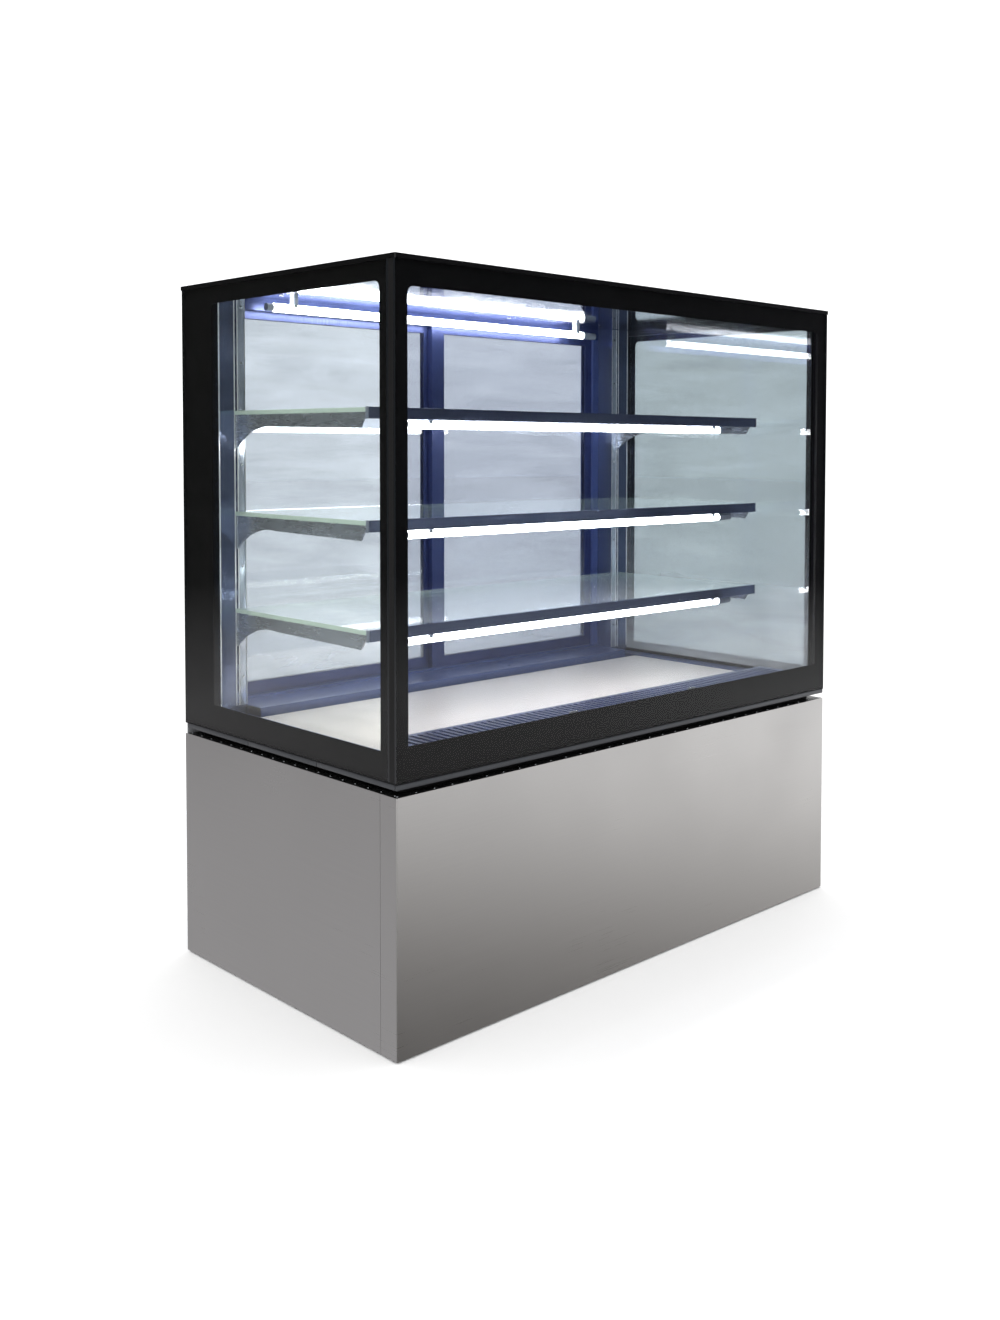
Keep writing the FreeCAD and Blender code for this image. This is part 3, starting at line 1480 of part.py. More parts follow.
def shelf_rails():
    """Dark polished rail on the front edge of every shelf, with a lip under the glass."""
    rails = []
    for level in LEVELS:
        top = f"({level} + {RAIL_RISE})"
        face = box(
            "rail_face",
            both_ways(SHELF_HALF),
            (f"{SHELF_FRONT} - rail_thick", SHELF_FRONT),
            (f"{top} - rail_height", top),
        )
        lip = box(
            "rail_lip_sheet",
            both_ways(f"{BRACKET_PLANE} - {FRAME_BAR}"),
            (SHELF_FRONT, f"{SHELF_FRONT} + rail_lip"),
            (f"{level} - rail_lip_thick", level),
        )
        rails.append(fuse("rail", [face, lip]))
    return group("shelf_rails", rails)


def lamp_places():
    """Middle of each lamp in Y and Z, its radius, and the face that its holders hang from."""
    places = []
    for level in LEVELS:
        middle_y = f"({SHELF_FRONT} + shelf_lamp_radius + sheet_thick)"
        middle_z = f"({level} + {RAIL_RISE} - rail_height - shelf_lamp_radius - sheet_thick)"
        places.append((middle_y, middle_z, "shelf_lamp_radius", f"({level} - rail_lip_thick)"))
    ceiling_y = f"({FRAME_FACE} - ceiling_lamp_inset)"
    ceiling_z = f"({CEILING} - ceiling_lamp_drop)"
    places.append((ceiling_y, ceiling_z, "ceiling_lamp_radius", CEILING))
    return places


def led_lamps():
    """Tube lamps with end caps: one under every shelf rail and one under the ceiling."""
    lamps = []
    for middle_y, middle_z, radius, _ in lamp_places():
        tube = rod("lamp_tube", ("-lamp_half", middle_y, middle_z), radius, "2 * lamp_half", "x")
        caps = []
        for side in SIDES.values():
            start = side_span(side, "lamp_half", "lamp_half + lamp_cap")[0]
            caps.append(rod("lamp_end", (start, middle_y, middle_z), f"{radius} * 0.92", "lamp_cap", "x"))
        lamps.append(fuse("lamp", [tube, *caps]))
    return group("led_lamps", lamps)


def lamp_holders():
    """Clips that hold the lamps to the rails and to the ceiling."""
    holders = []
    for middle_y, middle_z, radius, seat in lamp_places():
        for offset in ("-holder_x", "holder_x"):
            x_span = centred(offset, "holder_width")
            y_span = centred(middle_y, f"2 * {radius}")
            block = box("holder_block", x_span, y_span, (middle_z, seat))
            start = (f"{offset} - holder_width", middle_y, middle_z)
            saddle = rod("holder_saddle", start, f"{radius} + holder_fit", "2 * holder_width", "x")
            holders.append(cut("holder", block, [saddle]))
    return group("lamp_holders", holders)


# ---------------------------------------------------------------- fasteners

def screw_heads():
    """Button-head screws: rear panel, ceiling liner and rear ledge."""
    heads = []
    rear_offsets = steps(fits(f"2 * {HALF_WIDTH}", "screw_step"), "screw_step")
    for offset in rear_offsets:
        for level in (f"pan_level + {FRAME_BAR} / 2", f"base_height - {FRAME_BAR} / 2"):
            heads.append(rod("rear_screw", (offset, PANEL_BACK, level), "screw_radius", "screw_head", "y"))
    for offset in steps(4, "case_width / 4"):
        for middle_y in (f"{WALL_FRONT} + {FRAME_BAR}", f"{UPRIGHT_FACE} - {FRAME_BAR}"):
            spot = (offset, middle_y, f"{CEILING} - screw_head")
            heads.append(rod("ceiling_screw", spot, "screw_radius", "screw_head", "z"))
    for side in SIDES.values():
        spot = (f"{side} * case_width / 8", f"{LEDGE_FRONT} + {FRAME_BAR}", f"{CABIN_FLOOR} + ledge_rise")
        heads.append(rod("ledge_screw", spot, "screw_radius", "screw_head", "z"))
    return group("screw_heads", heads)


# ---------------------------------------------------------------- the whole case

def build_nodes():
    """Every sub-part of the case. An object's label is its node's name."""
    nodes = [
        levelling_feet(), floor_pan(), base_frame(), front_panel(),
        side_panel("left_side_panel", -1), side_panel("right_side_panel", 1),
        rear_service_panel(), vent_ledge(),
        compressor_mounts(), compressor(), condenser_coil(), condenser_shroud(),
        condenser_fan_motor(), condenser_fan(), refrigerant_pipes(), filter_drier(),
        condensate_tray(), drain_pipe(),
        control_box(), controller(), controller_display(), switch_housings(),
        rocker("light_switch", "light_switch_x"), rocker("power_switch", "power_switch_x"),
        power_inlet(),
        insulated_tub(), evaporator_coil(), evaporator_fan_plate(), evaporator_fan_motors(),
        evaporator_fan("left_evaporator_fan", -1), evaporator_fan("right_evaporator_fan", 1),
        deck_panel(), front_air_grille(), deck_trims(),
        glass_channel(), front_glass(),
        side_glass("left_side_glass", -1), side_glass("right_side_glass", 1),
        glass_spacers(), glass_borders(), top_panel(), ceiling_liner(),
        door_header(), door_sill(), door_jambs(),
        shelf_uprights(), shelf_brackets(), glass_shelves(), shelf_rails(),
        led_lamps(), lamp_holders(), screw_heads(),
    ]
    nodes += [button(name) for name in BUTTONS]
    for word, side in SIDES.items():
        nodes.append(door_frame(f"{word}_door_frame", side, DOOR_TRACKS[word]))
        nodes.append(door_glass(f"{word}_door_glass", side, DOOR_TRACKS[word]))
    for node in nodes:
        node.Label = node.Name
    return nodes


def check(nodes):
    """Stop on any object that failed, and on any sub-part without a sound shape."""
    for item in DOC.Objects:
        if "Invalid" in item.State or "Error" in item.State:
            raise RuntimeError(f"{item.Label} failed: {item.State}")
    for node in nodes:
        if node.Shape.isNull() or not node.Shape.isValid() or not node.Shape.Solids:
            raise RuntimeError(f"{node.Label} has no sound shape")


def export(nodes):
    """Write one STEP file for each sub-part."""
    os.makedirs("parts", exist_ok=True)
    for node in nodes:
        node.Shape.exportStep(f"parts/{node.Label}.step")
        print(node.Label, len(node.Shape.Solids))


def make_sheet():
    """The spreadsheet of driving dimensions."""
    sheet = DOC.addObject("Spreadsheet::Sheet", "Sizes")
    for row, (alias, size) in enumerate(SIZES.items(), start=1):
        sheet.set(f"A{row}", alias)
        sheet.set(f"B{row}", str(size))
        sheet.setAlias(f"B{row}", alias)
    DOC.recompute()
    return sheet


DOC = FreeCAD.newDocument("bakery_display_case")
SHEET = make_sheet()
NODES = build_nodes()
DOC.recompute()
check(NODES)
export(NODES)
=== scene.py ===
"""Finishes, small fittings and studio for a refrigerated bakery display case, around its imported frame."""

import math

import bmesh
import bpy
from bpy.props import FloatProperty, FloatVectorProperty, PointerProperty
from mathutils import Matrix, Vector


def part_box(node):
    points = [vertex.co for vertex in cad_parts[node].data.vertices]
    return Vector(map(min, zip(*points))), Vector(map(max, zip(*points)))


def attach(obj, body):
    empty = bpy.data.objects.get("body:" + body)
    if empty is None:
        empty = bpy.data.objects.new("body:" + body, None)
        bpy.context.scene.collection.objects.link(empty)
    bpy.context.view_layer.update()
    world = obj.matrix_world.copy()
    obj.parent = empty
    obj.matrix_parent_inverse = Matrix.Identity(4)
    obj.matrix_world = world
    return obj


bl_info = {
    "name": "Bakery display case looks",
    "version": (1, 0, 0),
    "blender": (4, 5, 0),
    "location": "View3D > Sidebar > Display case",
    "description": "Finishes, fittings and studio for a glazed bakery display case",
    "category": "Object",
}

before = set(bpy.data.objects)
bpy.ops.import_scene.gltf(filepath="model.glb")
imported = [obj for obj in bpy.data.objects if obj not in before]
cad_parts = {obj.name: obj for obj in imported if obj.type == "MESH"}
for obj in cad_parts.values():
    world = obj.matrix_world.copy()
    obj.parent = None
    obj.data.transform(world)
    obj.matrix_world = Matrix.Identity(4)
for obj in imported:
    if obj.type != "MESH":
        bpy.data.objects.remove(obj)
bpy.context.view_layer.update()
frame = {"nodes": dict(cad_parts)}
NODES = frame["nodes"]
MM = 0.001
PIECES = "Display case"


def linear(code):
    """An sRGB hex colour as linear red, green and blue."""
    parts = [int(code[i : i + 2], 16) / 255 for i in (1, 3, 5)]
    return tuple(c / 12.92 if c <= 0.04045 else ((c + 0.055) / 1.055) ** 2.4 for c in parts)


def hue(code, name, description):
    """A colour property whose default is an sRGB hex colour."""
    return FloatVectorProperty(
        name=name, description=description, default=linear(code), subtype="COLOR", size=3, min=0, max=1
    )


def length(mm, name, description):
    """A length property whose default is given in millimetres."""
    return FloatProperty(
        name=name, description=description, default=mm * MM, min=0, unit="LENGTH", subtype="DISTANCE"
    )


def strength(value, name, description):
    """A brightness property without a unit."""
    return FloatProperty(name=name, description=description, default=value, min=0)


# ---------- settings a user would change


class CaseColours(bpy.types.PropertyGroup):
    """Colours of the finishes that show most."""

    steel: hue("#c8c7c6", "Base steel", "Brushed stainless steel of the base")
    frame: hue("#3e4978", "Cabin frame", "Dark anodised aluminium inside the cabin")
    # The jamb colour is the frames' anodising painted paler, as painted lamp light.
    jamb: hue("#5b6aa0", "Door jamb", "Paler anodised aluminium of the jambs beside the doors")
    # The sill colour is the frames' anodising painted paler, as painted light.
    sill: hue("#485a8c", "Door sill", "Anodised aluminium of the sill and the ledge in front of it")
    enamel: hue("#0b0b0c", "Glass border", "Ceramic enamel fired on the edge of the glass")
    deck: hue("#f1e6e0", "Deck", "White coat of the deck")
    front_tint: hue("#eeeff0", "Front glass tint", "What one face of the front glass lets through")
    side_tint: hue("#fbfcfb", "Left glass tint", "What one face of the left-hand glass lets through")
    right_glass_tint: hue("#f4f8f9", "Right glass tint", "What one face of the right-hand glass lets through")
    door_tint: hue("#f0f4fc", "Door glass tint", "What one face of the door glass lets through")
    shelf_tint: hue("#f7fbfa", "Shelf glass tint", "What one face of a glass shelf lets through")
    # The glass edge colour is also painted on the cut edges as a faint glow.
    glass_edge: hue("#c2d3cb", "Glass edge", "Green of a polished glass edge")
    lamp: hue("#fffdfb", "Lamp light", "Cool white of the lamps")


class CaseSizes(bpy.types.PropertyGroup):
    """Sizes of the small fittings that are added to the frame."""

    seal_bead: length(3.0, "Corner bead", "Width of the sealant bead between two glass units")
    strip_height: length(9.0, "Gap strip height", "Height of the edging strips in the vent gap")
    clip_width: length(24.0, "Grille clip width", "Width of the spring clips that hold the air grille")
    digit_height: length(9.0, "Digit height", "Height of a lit digit on the controller")
    rivet_pitch: length(38.0, "Rivet pitch", "Spacing of the rivets along the ledge in the vent gap")


class CaseStage(bpy.types.PropertyGroup):
    """Camera, lamps and studio light."""

    lens: FloatProperty(
        name="Lens", description="Focal length", default=35.48, unit="CAMERA", subtype="DISTANCE_CAMERA"
    )
    lamp_power: strength(29.0, "Lamp light", "Brightness of the lamps in the case")
    studio: strength(1.4, "Studio light", "Brightness of the white studio")
    mirrored: strength(1.68, "Mirrored studio", "Brightness of what polished faces see")


# ---------- nodes and materials


def add(tree, kind, inputs=None, **settings):
    """Add one shader node, set its properties, and set or link its inputs by name or number."""
    made = tree.nodes.new("ShaderNode" + kind)
    for name, value in settings.items():
        setattr(made, name, value)
    for key, value in (inputs or {}).items():
        if isinstance(value, bpy.types.NodeSocket):
            tree.links.new(value, made.inputs[key])
        else:
            made.inputs[key].default_value = value
    return made


def blank(name):
    """A new material with only its output node, and its node tree."""
    material = bpy.data.materials.new(name)
    material.use_nodes = True
    tree = material.node_tree
    tree.nodes.clear()
    return material, tree


def opaque(colour):
    """Red, green, blue and alpha for a colour socket."""
    return (*tuple(colour)[:3], 1.0)


def shade(colour, factor):
    """A colour made lighter or darker."""
    return tuple(min(1.0, c * factor) for c in tuple(colour)[:3])


def surface_coordinates(tree, grain_mm):
    """Object coordinates counted in grains, each as long as grain_mm says along x, y and z."""
    place = add(tree, "TexCoord").outputs["Object"]
    per_metre = tuple(1000.0 / mm for mm in grain_mm)
    return add(tree, "VectorMath", {0: place, 1: per_metre}, operation="MULTIPLY").outputs[0]


def finish(name, colour, spread, metallic, rough, grain_mm, bump_mm, cells=False, cloud_mm=180.0, **sockets):
    """A surface with a fine grain and a slow cloudy change of gloss, as handling and cleaning leave.

    colour is the middle colour, linear or as sRGB hex, and spread how far the grain moves it. rough is the
    lowest and highest roughness, grain_mm the grain's size along x, y and z, and bump_mm its height."""
    colour = linear(colour) if isinstance(colour, str) else colour
    material, tree = blank(name)
    grain = surface_coordinates(tree, grain_mm)
    if cells:
        pattern = add(tree, "TexVoronoi", {"Vector": grain, "Scale": 1.0})
        fine = add(tree, "SeparateColor", {0: pattern.outputs["Color"]}).outputs[0]
    else:
        fine = add(
            tree, "TexNoise", {"Vector": grain, "Scale": 1.0, "Detail": 4.0, "Roughness": 0.6}
        ).outputs["Fac"]
    slow_place = surface_coordinates(tree, (cloud_mm, cloud_mm, cloud_mm))
    slow = add(tree, "TexNoise", {"Vector": slow_place, "Scale": 1.0, "Detail": 3.0}).outputs["Fac"]
    both = add(tree, "Math", {0: fine, 1: slow}, operation="ADD").outputs[0]
    gloss = add(tree, "MapRange", {0: both, 1: 0.7, 2: 1.3, 3: rough[0], 4: rough[1]}).outputs[0]
    tone = add(
        tree,
        "Mix",
        {0: fine, 6: opaque(shade(colour, 1 - spread)), 7: opaque(shade(colour, 1 + spread))},
        data_type="RGBA",
    ).outputs[2]
    relief = add(
        tree, "Bump", {"Height": fine, "Distance": bump_mm * MM, "Strength": 1.0}
    ).outputs["Normal"]
    values = {"Base Color": tone, "Roughness": gloss, "Normal": relief, "Metallic": metallic}
    values.update(sockets)
    shader = add(tree, "BsdfPrincipled", values)
    add(tree, "OutputMaterial", {"Surface": shader.outputs[0]})
    return material


def brushed_steel(name, colour, rough, grain_mm, turned=0.55):
    """Sheet steel brushed one way: fine lines along the grain and gloss drawn out across it."""
    material = finish(name, colour, 0.05, 1.0, rough, grain_mm, 0.004, cloud_mm=260.0, Anisotropic=turned)
    tree = material.node_tree
    around = add(tree, "Tangent", direction_type="RADIAL", axis="Z").outputs[0]
    shader = next(n for n in tree.nodes if n.type == "BSDF_PRINCIPLED")
    tree.links.new(around, shader.inputs["Tangent"])
    return material


# Wiping streaks in millimetres along x, y and z: long and level
WIPED = (340, 340, 60)
# Smears of grease on glass, and the saw marks in its cut edge, in millimetres
SMEARS = (90, 90, 60)
SAW_MARKS = (2, 2, 2)
# Painted haze, a pale layer that lightens the glass: a height, its share of the view there, a second height and
# the share there
NO_PAINTED_HAZE = (0.5, 0.0, 1.0, 0.0)
SIDE_PAINTED_HAZE = (0.5, 0.55, 0.86, 0.02)
DOOR_PAINTED_HAZE = (0.5, 0.34, 0.82, 0.02)
SHELF_PAINTED_HAZE = (0.68, 0.3, 0.9, 0.06)
PAINTED_HAZE_WHITE = linear("#eef1f4")
# A distance from the middle of the case that lies beyond every face, so that the painted haze lies on all of
# them
ALL_FACES = 9.0
# Edge of a glass unit, ground and blacked with sealant, with the faint painted glow that every cut edge gets
SEALED_EDGE = linear("#15171a")


def pane(name, tint, edge, axis, mirror, film=0.0, mist=NO_PAINTED_HAZE, inside=ALL_FACES):
    """Polished flat glass whose cut edges carry a painted glow, a faint emission in their own colour in place
    of the light that runs inside the sheet.

    Its two large faces, square to axis, let light through and mirror more at a grazing look. mirror is the
    share of light that a face mirrors when looked at squarely, and film how much wiping streaks take from
    the view. mist is how much painted pale haze lightens the glass, at and under one height, then at
    and over another, on the faces nearer to the middle of the case than inside."""
    material, tree = blank(name)
    facing = add(tree, "LayerWeight", {"Blend": 0.5}).outputs["Facing"]
    steep = add(tree, "Math", {0: facing, 1: 5.0}, operation="POWER").outputs[0]
    mirrored = add(tree, "Math", {0: steep, 1: 1 - mirror, 2: mirror}, operation="MULTIPLY_ADD").outputs[0]
    smear = add(
        tree, "TexNoise", {"Vector": surface_coordinates(tree, SMEARS), "Scale": 1.0, "Detail": 4.0}
    ).outputs["Fac"]
    blur = add(tree, "MapRange", {0: smear, 1: 0.45, 2: 0.75, 3: 0.0, 4: 0.035}).outputs[0]
    place = surface_coordinates(tree, WIPED)
    streak = add(
        tree,
        "TexNoise",
        {"Vector": place, "Scale": 1.0, "Detail": 5.0, "Roughness": 0.55, "Distortion": 0.6},
    ).outputs["Fac"]
    wiped = add(tree, "MapRange", {0: streak, 1: 0.3, 2: 0.7}).outputs[0]
    seen = add(
        tree,
        "Mix",
        {0: wiped, 6: opaque(shade(tint, 1 - film)), 7: opaque(shade(tint, 1 + film / 2))},
        data_type="RGBA",
    ).outputs[2]
    through = add(tree, "BsdfTransparent", {"Color": seen}).outputs[0]
    gloss = add(tree, "BsdfGlossy", {"Color": (1, 1, 1, 1), "Roughness": blur}).outputs[0]
    # Painted haze: a pale diffuse layer mixed in by height, which lightens the glass.
    low, low_haze, high, high_haze = mist
    place = add(tree, "SeparateXYZ", {0: add(tree, "TexCoord").outputs["Object"]}).outputs
    depth = add(tree, "MapRange", {0: place["Z"], 1: low, 2: high, 3: low_haze, 4: high_haze}).outputs[0]
    off_middle = add(tree, "Math", {0: place[axis]}, operation="ABSOLUTE").outputs[0]
    inner_face = add(tree, "Math", {0: off_middle, 1: inside}, operation="LESS_THAN").outputs[0]
    haze_by_height = add(tree, "Math", {0: depth, 1: inner_face}, operation="MULTIPLY").outputs[0]
    patch = add(tree, "MapRange", {0: streak, 1: 0.3, 2: 0.7, 3: 0.75, 4: 1.25}).outputs[0]
    amount = add(tree, "Math", {0: haze_by_height, 1: patch}, operation="MULTIPLY").outputs[0]
    painted_haze_layer = add(tree, "BsdfDiffuse", {"Color": opaque(PAINTED_HAZE_WHITE)}).outputs[0]
    view = add(tree, "MixShader", {0: amount, 1: through, 2: painted_haze_layer}).outputs[0]
    face = add(tree, "MixShader", {0: mirrored, 1: view, 2: gloss}).outputs[0]
    saw = add(
        tree, "TexNoise", {"Vector": surface_coordinates(tree, SAW_MARKS), "Scale": 1.0}
    ).outputs["Fac"]
    cut = add(
        tree,
        "Mix",
        {0: saw, 6: opaque(shade(edge, 0.9)), 7: opaque(shade(edge, 1.1))},
        data_type="RGBA",
    ).outputs[2]
    # Cut edge: its colour is its own, and its faint emission is a painted glow.
    edge_with_painted_glow = add(
        tree,
        "BsdfPrincipled",
        {
            "Base Color": cut,
            "Roughness": 0.12,
            "IOR": 1.52,
            "Emission Color": opaque(edge),
            "Emission Strength": 0.16,
        },
    ).outputs[0]
    normal = add(tree, "NewGeometry").outputs["Normal"]
    parts = add(tree, "SeparateXYZ", {0: normal})
    square = add(tree, "Math", {0: parts.outputs[axis]}, operation="ABSOLUTE").outputs[0]
    on_face = add(tree, "Math", {0: square, 1: 0.7}, operation="GREATER_THAN").outputs[0]
    whole = add(tree, "MixShader", {0: on_face, 1: edge_with_painted_glow, 2: face}).outputs[0]
    add(tree, "OutputMaterial", {"Surface": whole})
    return material


# Millimetres from one diode to the next inside a lamp
DIODE_PITCH = 12.0
# Middle and half length of the lit part of a lamp in metres: the wires come in at the unlit end
LIT_MIDDLE = -0.014
HALF_LIT = 0.436


def lamp_tube(name, colour, power):
    """Opal tube over a row of diodes: an even white glow, a faint bead at each diode, and dim end caps."""
    material, tree = blank(name)
    place = add(tree, "TexCoord").outputs["Object"]
    along = add(tree, "SeparateXYZ", {0: place}).outputs["X"]
    per_metre = math.tau / (DIODE_PITCH * MM)
    turn = add(tree, "Math", {0: along, 1: per_metre}, operation="MULTIPLY").outputs[0]
    wave = add(tree, "Math", {0: turn}, operation="COSINE").outputs[0]
    bead = add(tree, "Math", {0: wave, 1: 0.2, 2: 1.0}, operation="MULTIPLY_ADD").outputs[0]
    from_lit_middle = add(tree, "Math", {0: along, 1: LIT_MIDDLE}, operation="SUBTRACT").outputs[0]
    far = add(tree, "Math", {0: from_lit_middle}, operation="ABSOLUTE").outputs[0]
    lit = add(tree, "Math", {0: far, 1: HALF_LIT}, operation="LESS_THAN").outputs[0]
    glow = add(tree, "Math", {0: bead, 1: lit}, operation="MULTIPLY").outputs[0]
    strength = add(tree, "Math", {0: glow, 1: power}, operation="MULTIPLY").outputs[0]
    cap = add(
        tree,
        "Mix",
        {0: lit, 6: opaque(linear("#9aa0ac")), 7: opaque(linear("#f4f6fa"))},
        data_type="RGBA",
    ).outputs[2]
    shader = add(
        tree,
        "BsdfPrincipled",
        {
            "Base Color": cap,
            "Roughness": 0.3,
            "Emission Color": opaque(colour),
            "Emission Strength": strength,
        },
    )
    add(tree, "OutputMaterial", {"Surface": shader.outputs[0]})
    return material


def soften_edges(names, radius_mm):
    """Round off the sharp edges of CAD nodes by a modifier, so that they catch a line of light."""
    for name in names:
        node = NODES[name]
        weld = node.modifiers.new("Joined corners", "WELD")
        weld.merge_threshold = 0.002 * MM
        edge = node.modifiers.new("Softened edges", "BEVEL")
        edge.width = radius_mm * MM
        edge.segments = 2
        edge.limit_method = "ANGLE"
        edge.angle_limit = math.radians(50)
        edge.use_clamp_overlap = True
        edge.harden_normals = True


def lay_finish(material, *names):
    """Give CAD nodes one material in place of what they came with."""
    for name in names:
        slots = NODES[name].data.materials
        slots.clear()
        slots.append(material)


# ---------- meshes


def piece(name, mesh_builder, material, body, smooth=40.0):
    """Make a mesh piece with a bmesh builder, give it its finish, and let it ride on a CAD body."""
    mesh = bpy.data.meshes.new(name)
    shape = bmesh.new()
    mesh_builder(shape)
    bmesh.ops.remove_doubles(shape, verts=shape.verts, dist=1e-7)
    bmesh.ops.recalc_face_normals(shape, faces=shape.faces)
    shape.to_mesh(mesh)
    shape.free()
    mesh.materials.append(material)
    made = bpy.data.objects.new(name, mesh)
    bpy.context.scene.collection.objects.link(made)
    mesh.shade_smooth()
    mesh.set_sharp_from_angle(angle=math.radians(smooth))
    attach(made, body)


def block(shape, low, high, round_off=0.0):
    """A box from its lowest to its highest corner, with its edges rounded off."""
    size = [b - a for a, b in zip(low, high)]
    middle = [(a + b) / 2 for a, b in zip(low, high)]
    place = Matrix.Translation(middle) @ Matrix.Diagonal((*size, 1.0))
    made = bmesh.ops.create_cube(shape, size=1.0, matrix=place)
    if round_off:
        # A dict keeps the edges in the order they were found.
        edges = dict.fromkeys(edge for vert in made["verts"] for edge in vert.link_edges)
        bmesh.ops.bevel(
            shape, geom=list(edges), offset=min(round_off, min(size) * 0.45), segments=2, profile=0.5,
            affect="EDGES", clamp_overlap=True,
        )


# Rings and sides of a screw or rivet head
DOME_RINGS = 4
DOME_SIDES = 14


def dome(shape, centre, radius, rise, axis):
    """A low domed head on a flat face: axis is the way it stands up."""
    turn = Vector((0, 0, 1)).rotation_difference(Vector(axis)).to_matrix().to_4x4()
    place = Matrix.Translation(centre) @ turn
    rings = []
    for level in range(DOME_RINGS):
        lean = math.pi / 2 * level / DOME_RINGS
        rings.append([
            shape.verts.new(
                place
                @ Vector((
                    radius * math.cos(lean) * math.cos(math.tau * k / DOME_SIDES),
                    radius * math.cos(lean) * math.sin(math.tau * k / DOME_SIDES),
                    rise * math.sin(lean),
                ))
            )
            for k in range(DOME_SIDES)
        ])
    for lower, upper in zip(rings, rings[1:]):
        for k in range(DOME_SIDES):
            j = (k + 1) % DOME_SIDES
            shape.faces.new((lower[k], lower[j], upper[j], upper[k]))
    shape.faces.new(rings[0][::-1])
    shape.faces.new(rings[-1])


def plate(shape, place, outline, thick):
    """A flat shape, its outline given in millimetres in the local XY plane, raised along local Z."""
    rings = [
        [shape.verts.new(place @ Vector((x * MM, y * MM, lift))) for x, y in outline] for lift in (0.0, thick)
    ]
    for k in range(len(outline)):
        j = (k + 1) % len(outline)
        shape.faces.new((rings[0][k], rings[0][j], rings[1][j], rings[1][k]))
    shape.faces.new(rings[0][::-1])
    shape.faces.new(rings[1])


def bar(across, up, wide, tall):
    """Outline of an upright bar round a middle point."""
    return [
        (across - wide / 2, up - tall / 2),
        (across + wide / 2, up - tall / 2),
        (across + wide / 2, up + tall / 2),
        (across - wide / 2, up + tall / 2),
    ]


# Marks start this far off their face, so that neither flickers
SINK = 0.00002


def behind(node, x, z):
    """Where a line from the operator's side meets a CAD node at one x and z.

    The placing that it gives has Z standing out of the face, Y up and X to the operator's right."""
    hit, spot, normal, _ = NODES[node].ray_cast(Vector((x, 1.0, z)), Vector((0, -1, 0)))
    if not hit:
        raise RuntimeError(f"no face of {node} at x {x:.4f}, z {z:.4f}")
    right = Vector((0, 0, 1)).cross(normal).normalized()
    up = normal.cross(right)
    turn = Matrix((right, up, normal)).transposed().to_4x4()
    return Matrix.Translation(spot + normal * SINK) @ turn


def even_places(start, end, pitch):
    """Places from start to end, as near to pitch apart as fits a whole number of steps."""
    count = max(1, round((end - start) / pitch))
    return [start + (end - start) * k / count for k in range(count + 1)]


# ---------- operators


class CASE_OT_steel_base(bpy.types.Operator):
    """Finish the steel panels, frame, pan and feet of the base"""

    bl_idname = "case.steel_base"
    bl_label = "Steel base"

    def execute(self, context):
        colours = context.scene.case_colours
        # Stainless steel 304, brushed level, satin: a soft blurred gleam, with lines too fine to count.
        # A real line is about 0.05 mm; these are 1.2 mm high so that they show.
        steel = brushed_steel("Stainless steel, brushed", colours.steel, (0.27, 0.33), (320, 320, 1.2))
        lay_finish(steel, "front_panel", "left_side_panel", "right_side_panel")
        # Mild steel, powder coated grey: even, with the slight orange peel of a baked powder.
        grey = finish("Powder-coated steel, grey", "#8d8f92", 0.03, 0.0, (0.42, 0.52), (1.6,) * 3, 0.02)
        lay_finish(grey, "rear_service_panel", "control_box")
        # Mild steel, powder coated black: deep black with a dull even sheen.
        black = finish("Powder-coated steel, black", "#141414", 0.12, 0.0, (0.38, 0.5), (1.4,) * 3, 0.02)
        lay_finish(black, "base_frame", "vent_ledge", "insulated_tub")
        # Hot-dip galvanised sheet: grey crystals of zinc, each catching the light its own way.
        zinc = finish(
            "Galvanised steel, spangled", "#a4a9ad", 0.16, 1.0, (0.32, 0.5), (9, 9, 9), 0.006, cells=True
        )
        lay_finish(zinc, "floor_pan", "condenser_shroud", "evaporator_fan_plate")
        # Steel screws and feet, zinc plated: bright, with a faint cloudy bloom.
        plated = finish("Zinc-plated steel", "#b9bcc0", 0.08, 1.0, (0.2, 0.34), (3, 3, 3), 0.01)
        lay_finish(plated, "levelling_feet", "screw_heads")
        return {"FINISHED"}


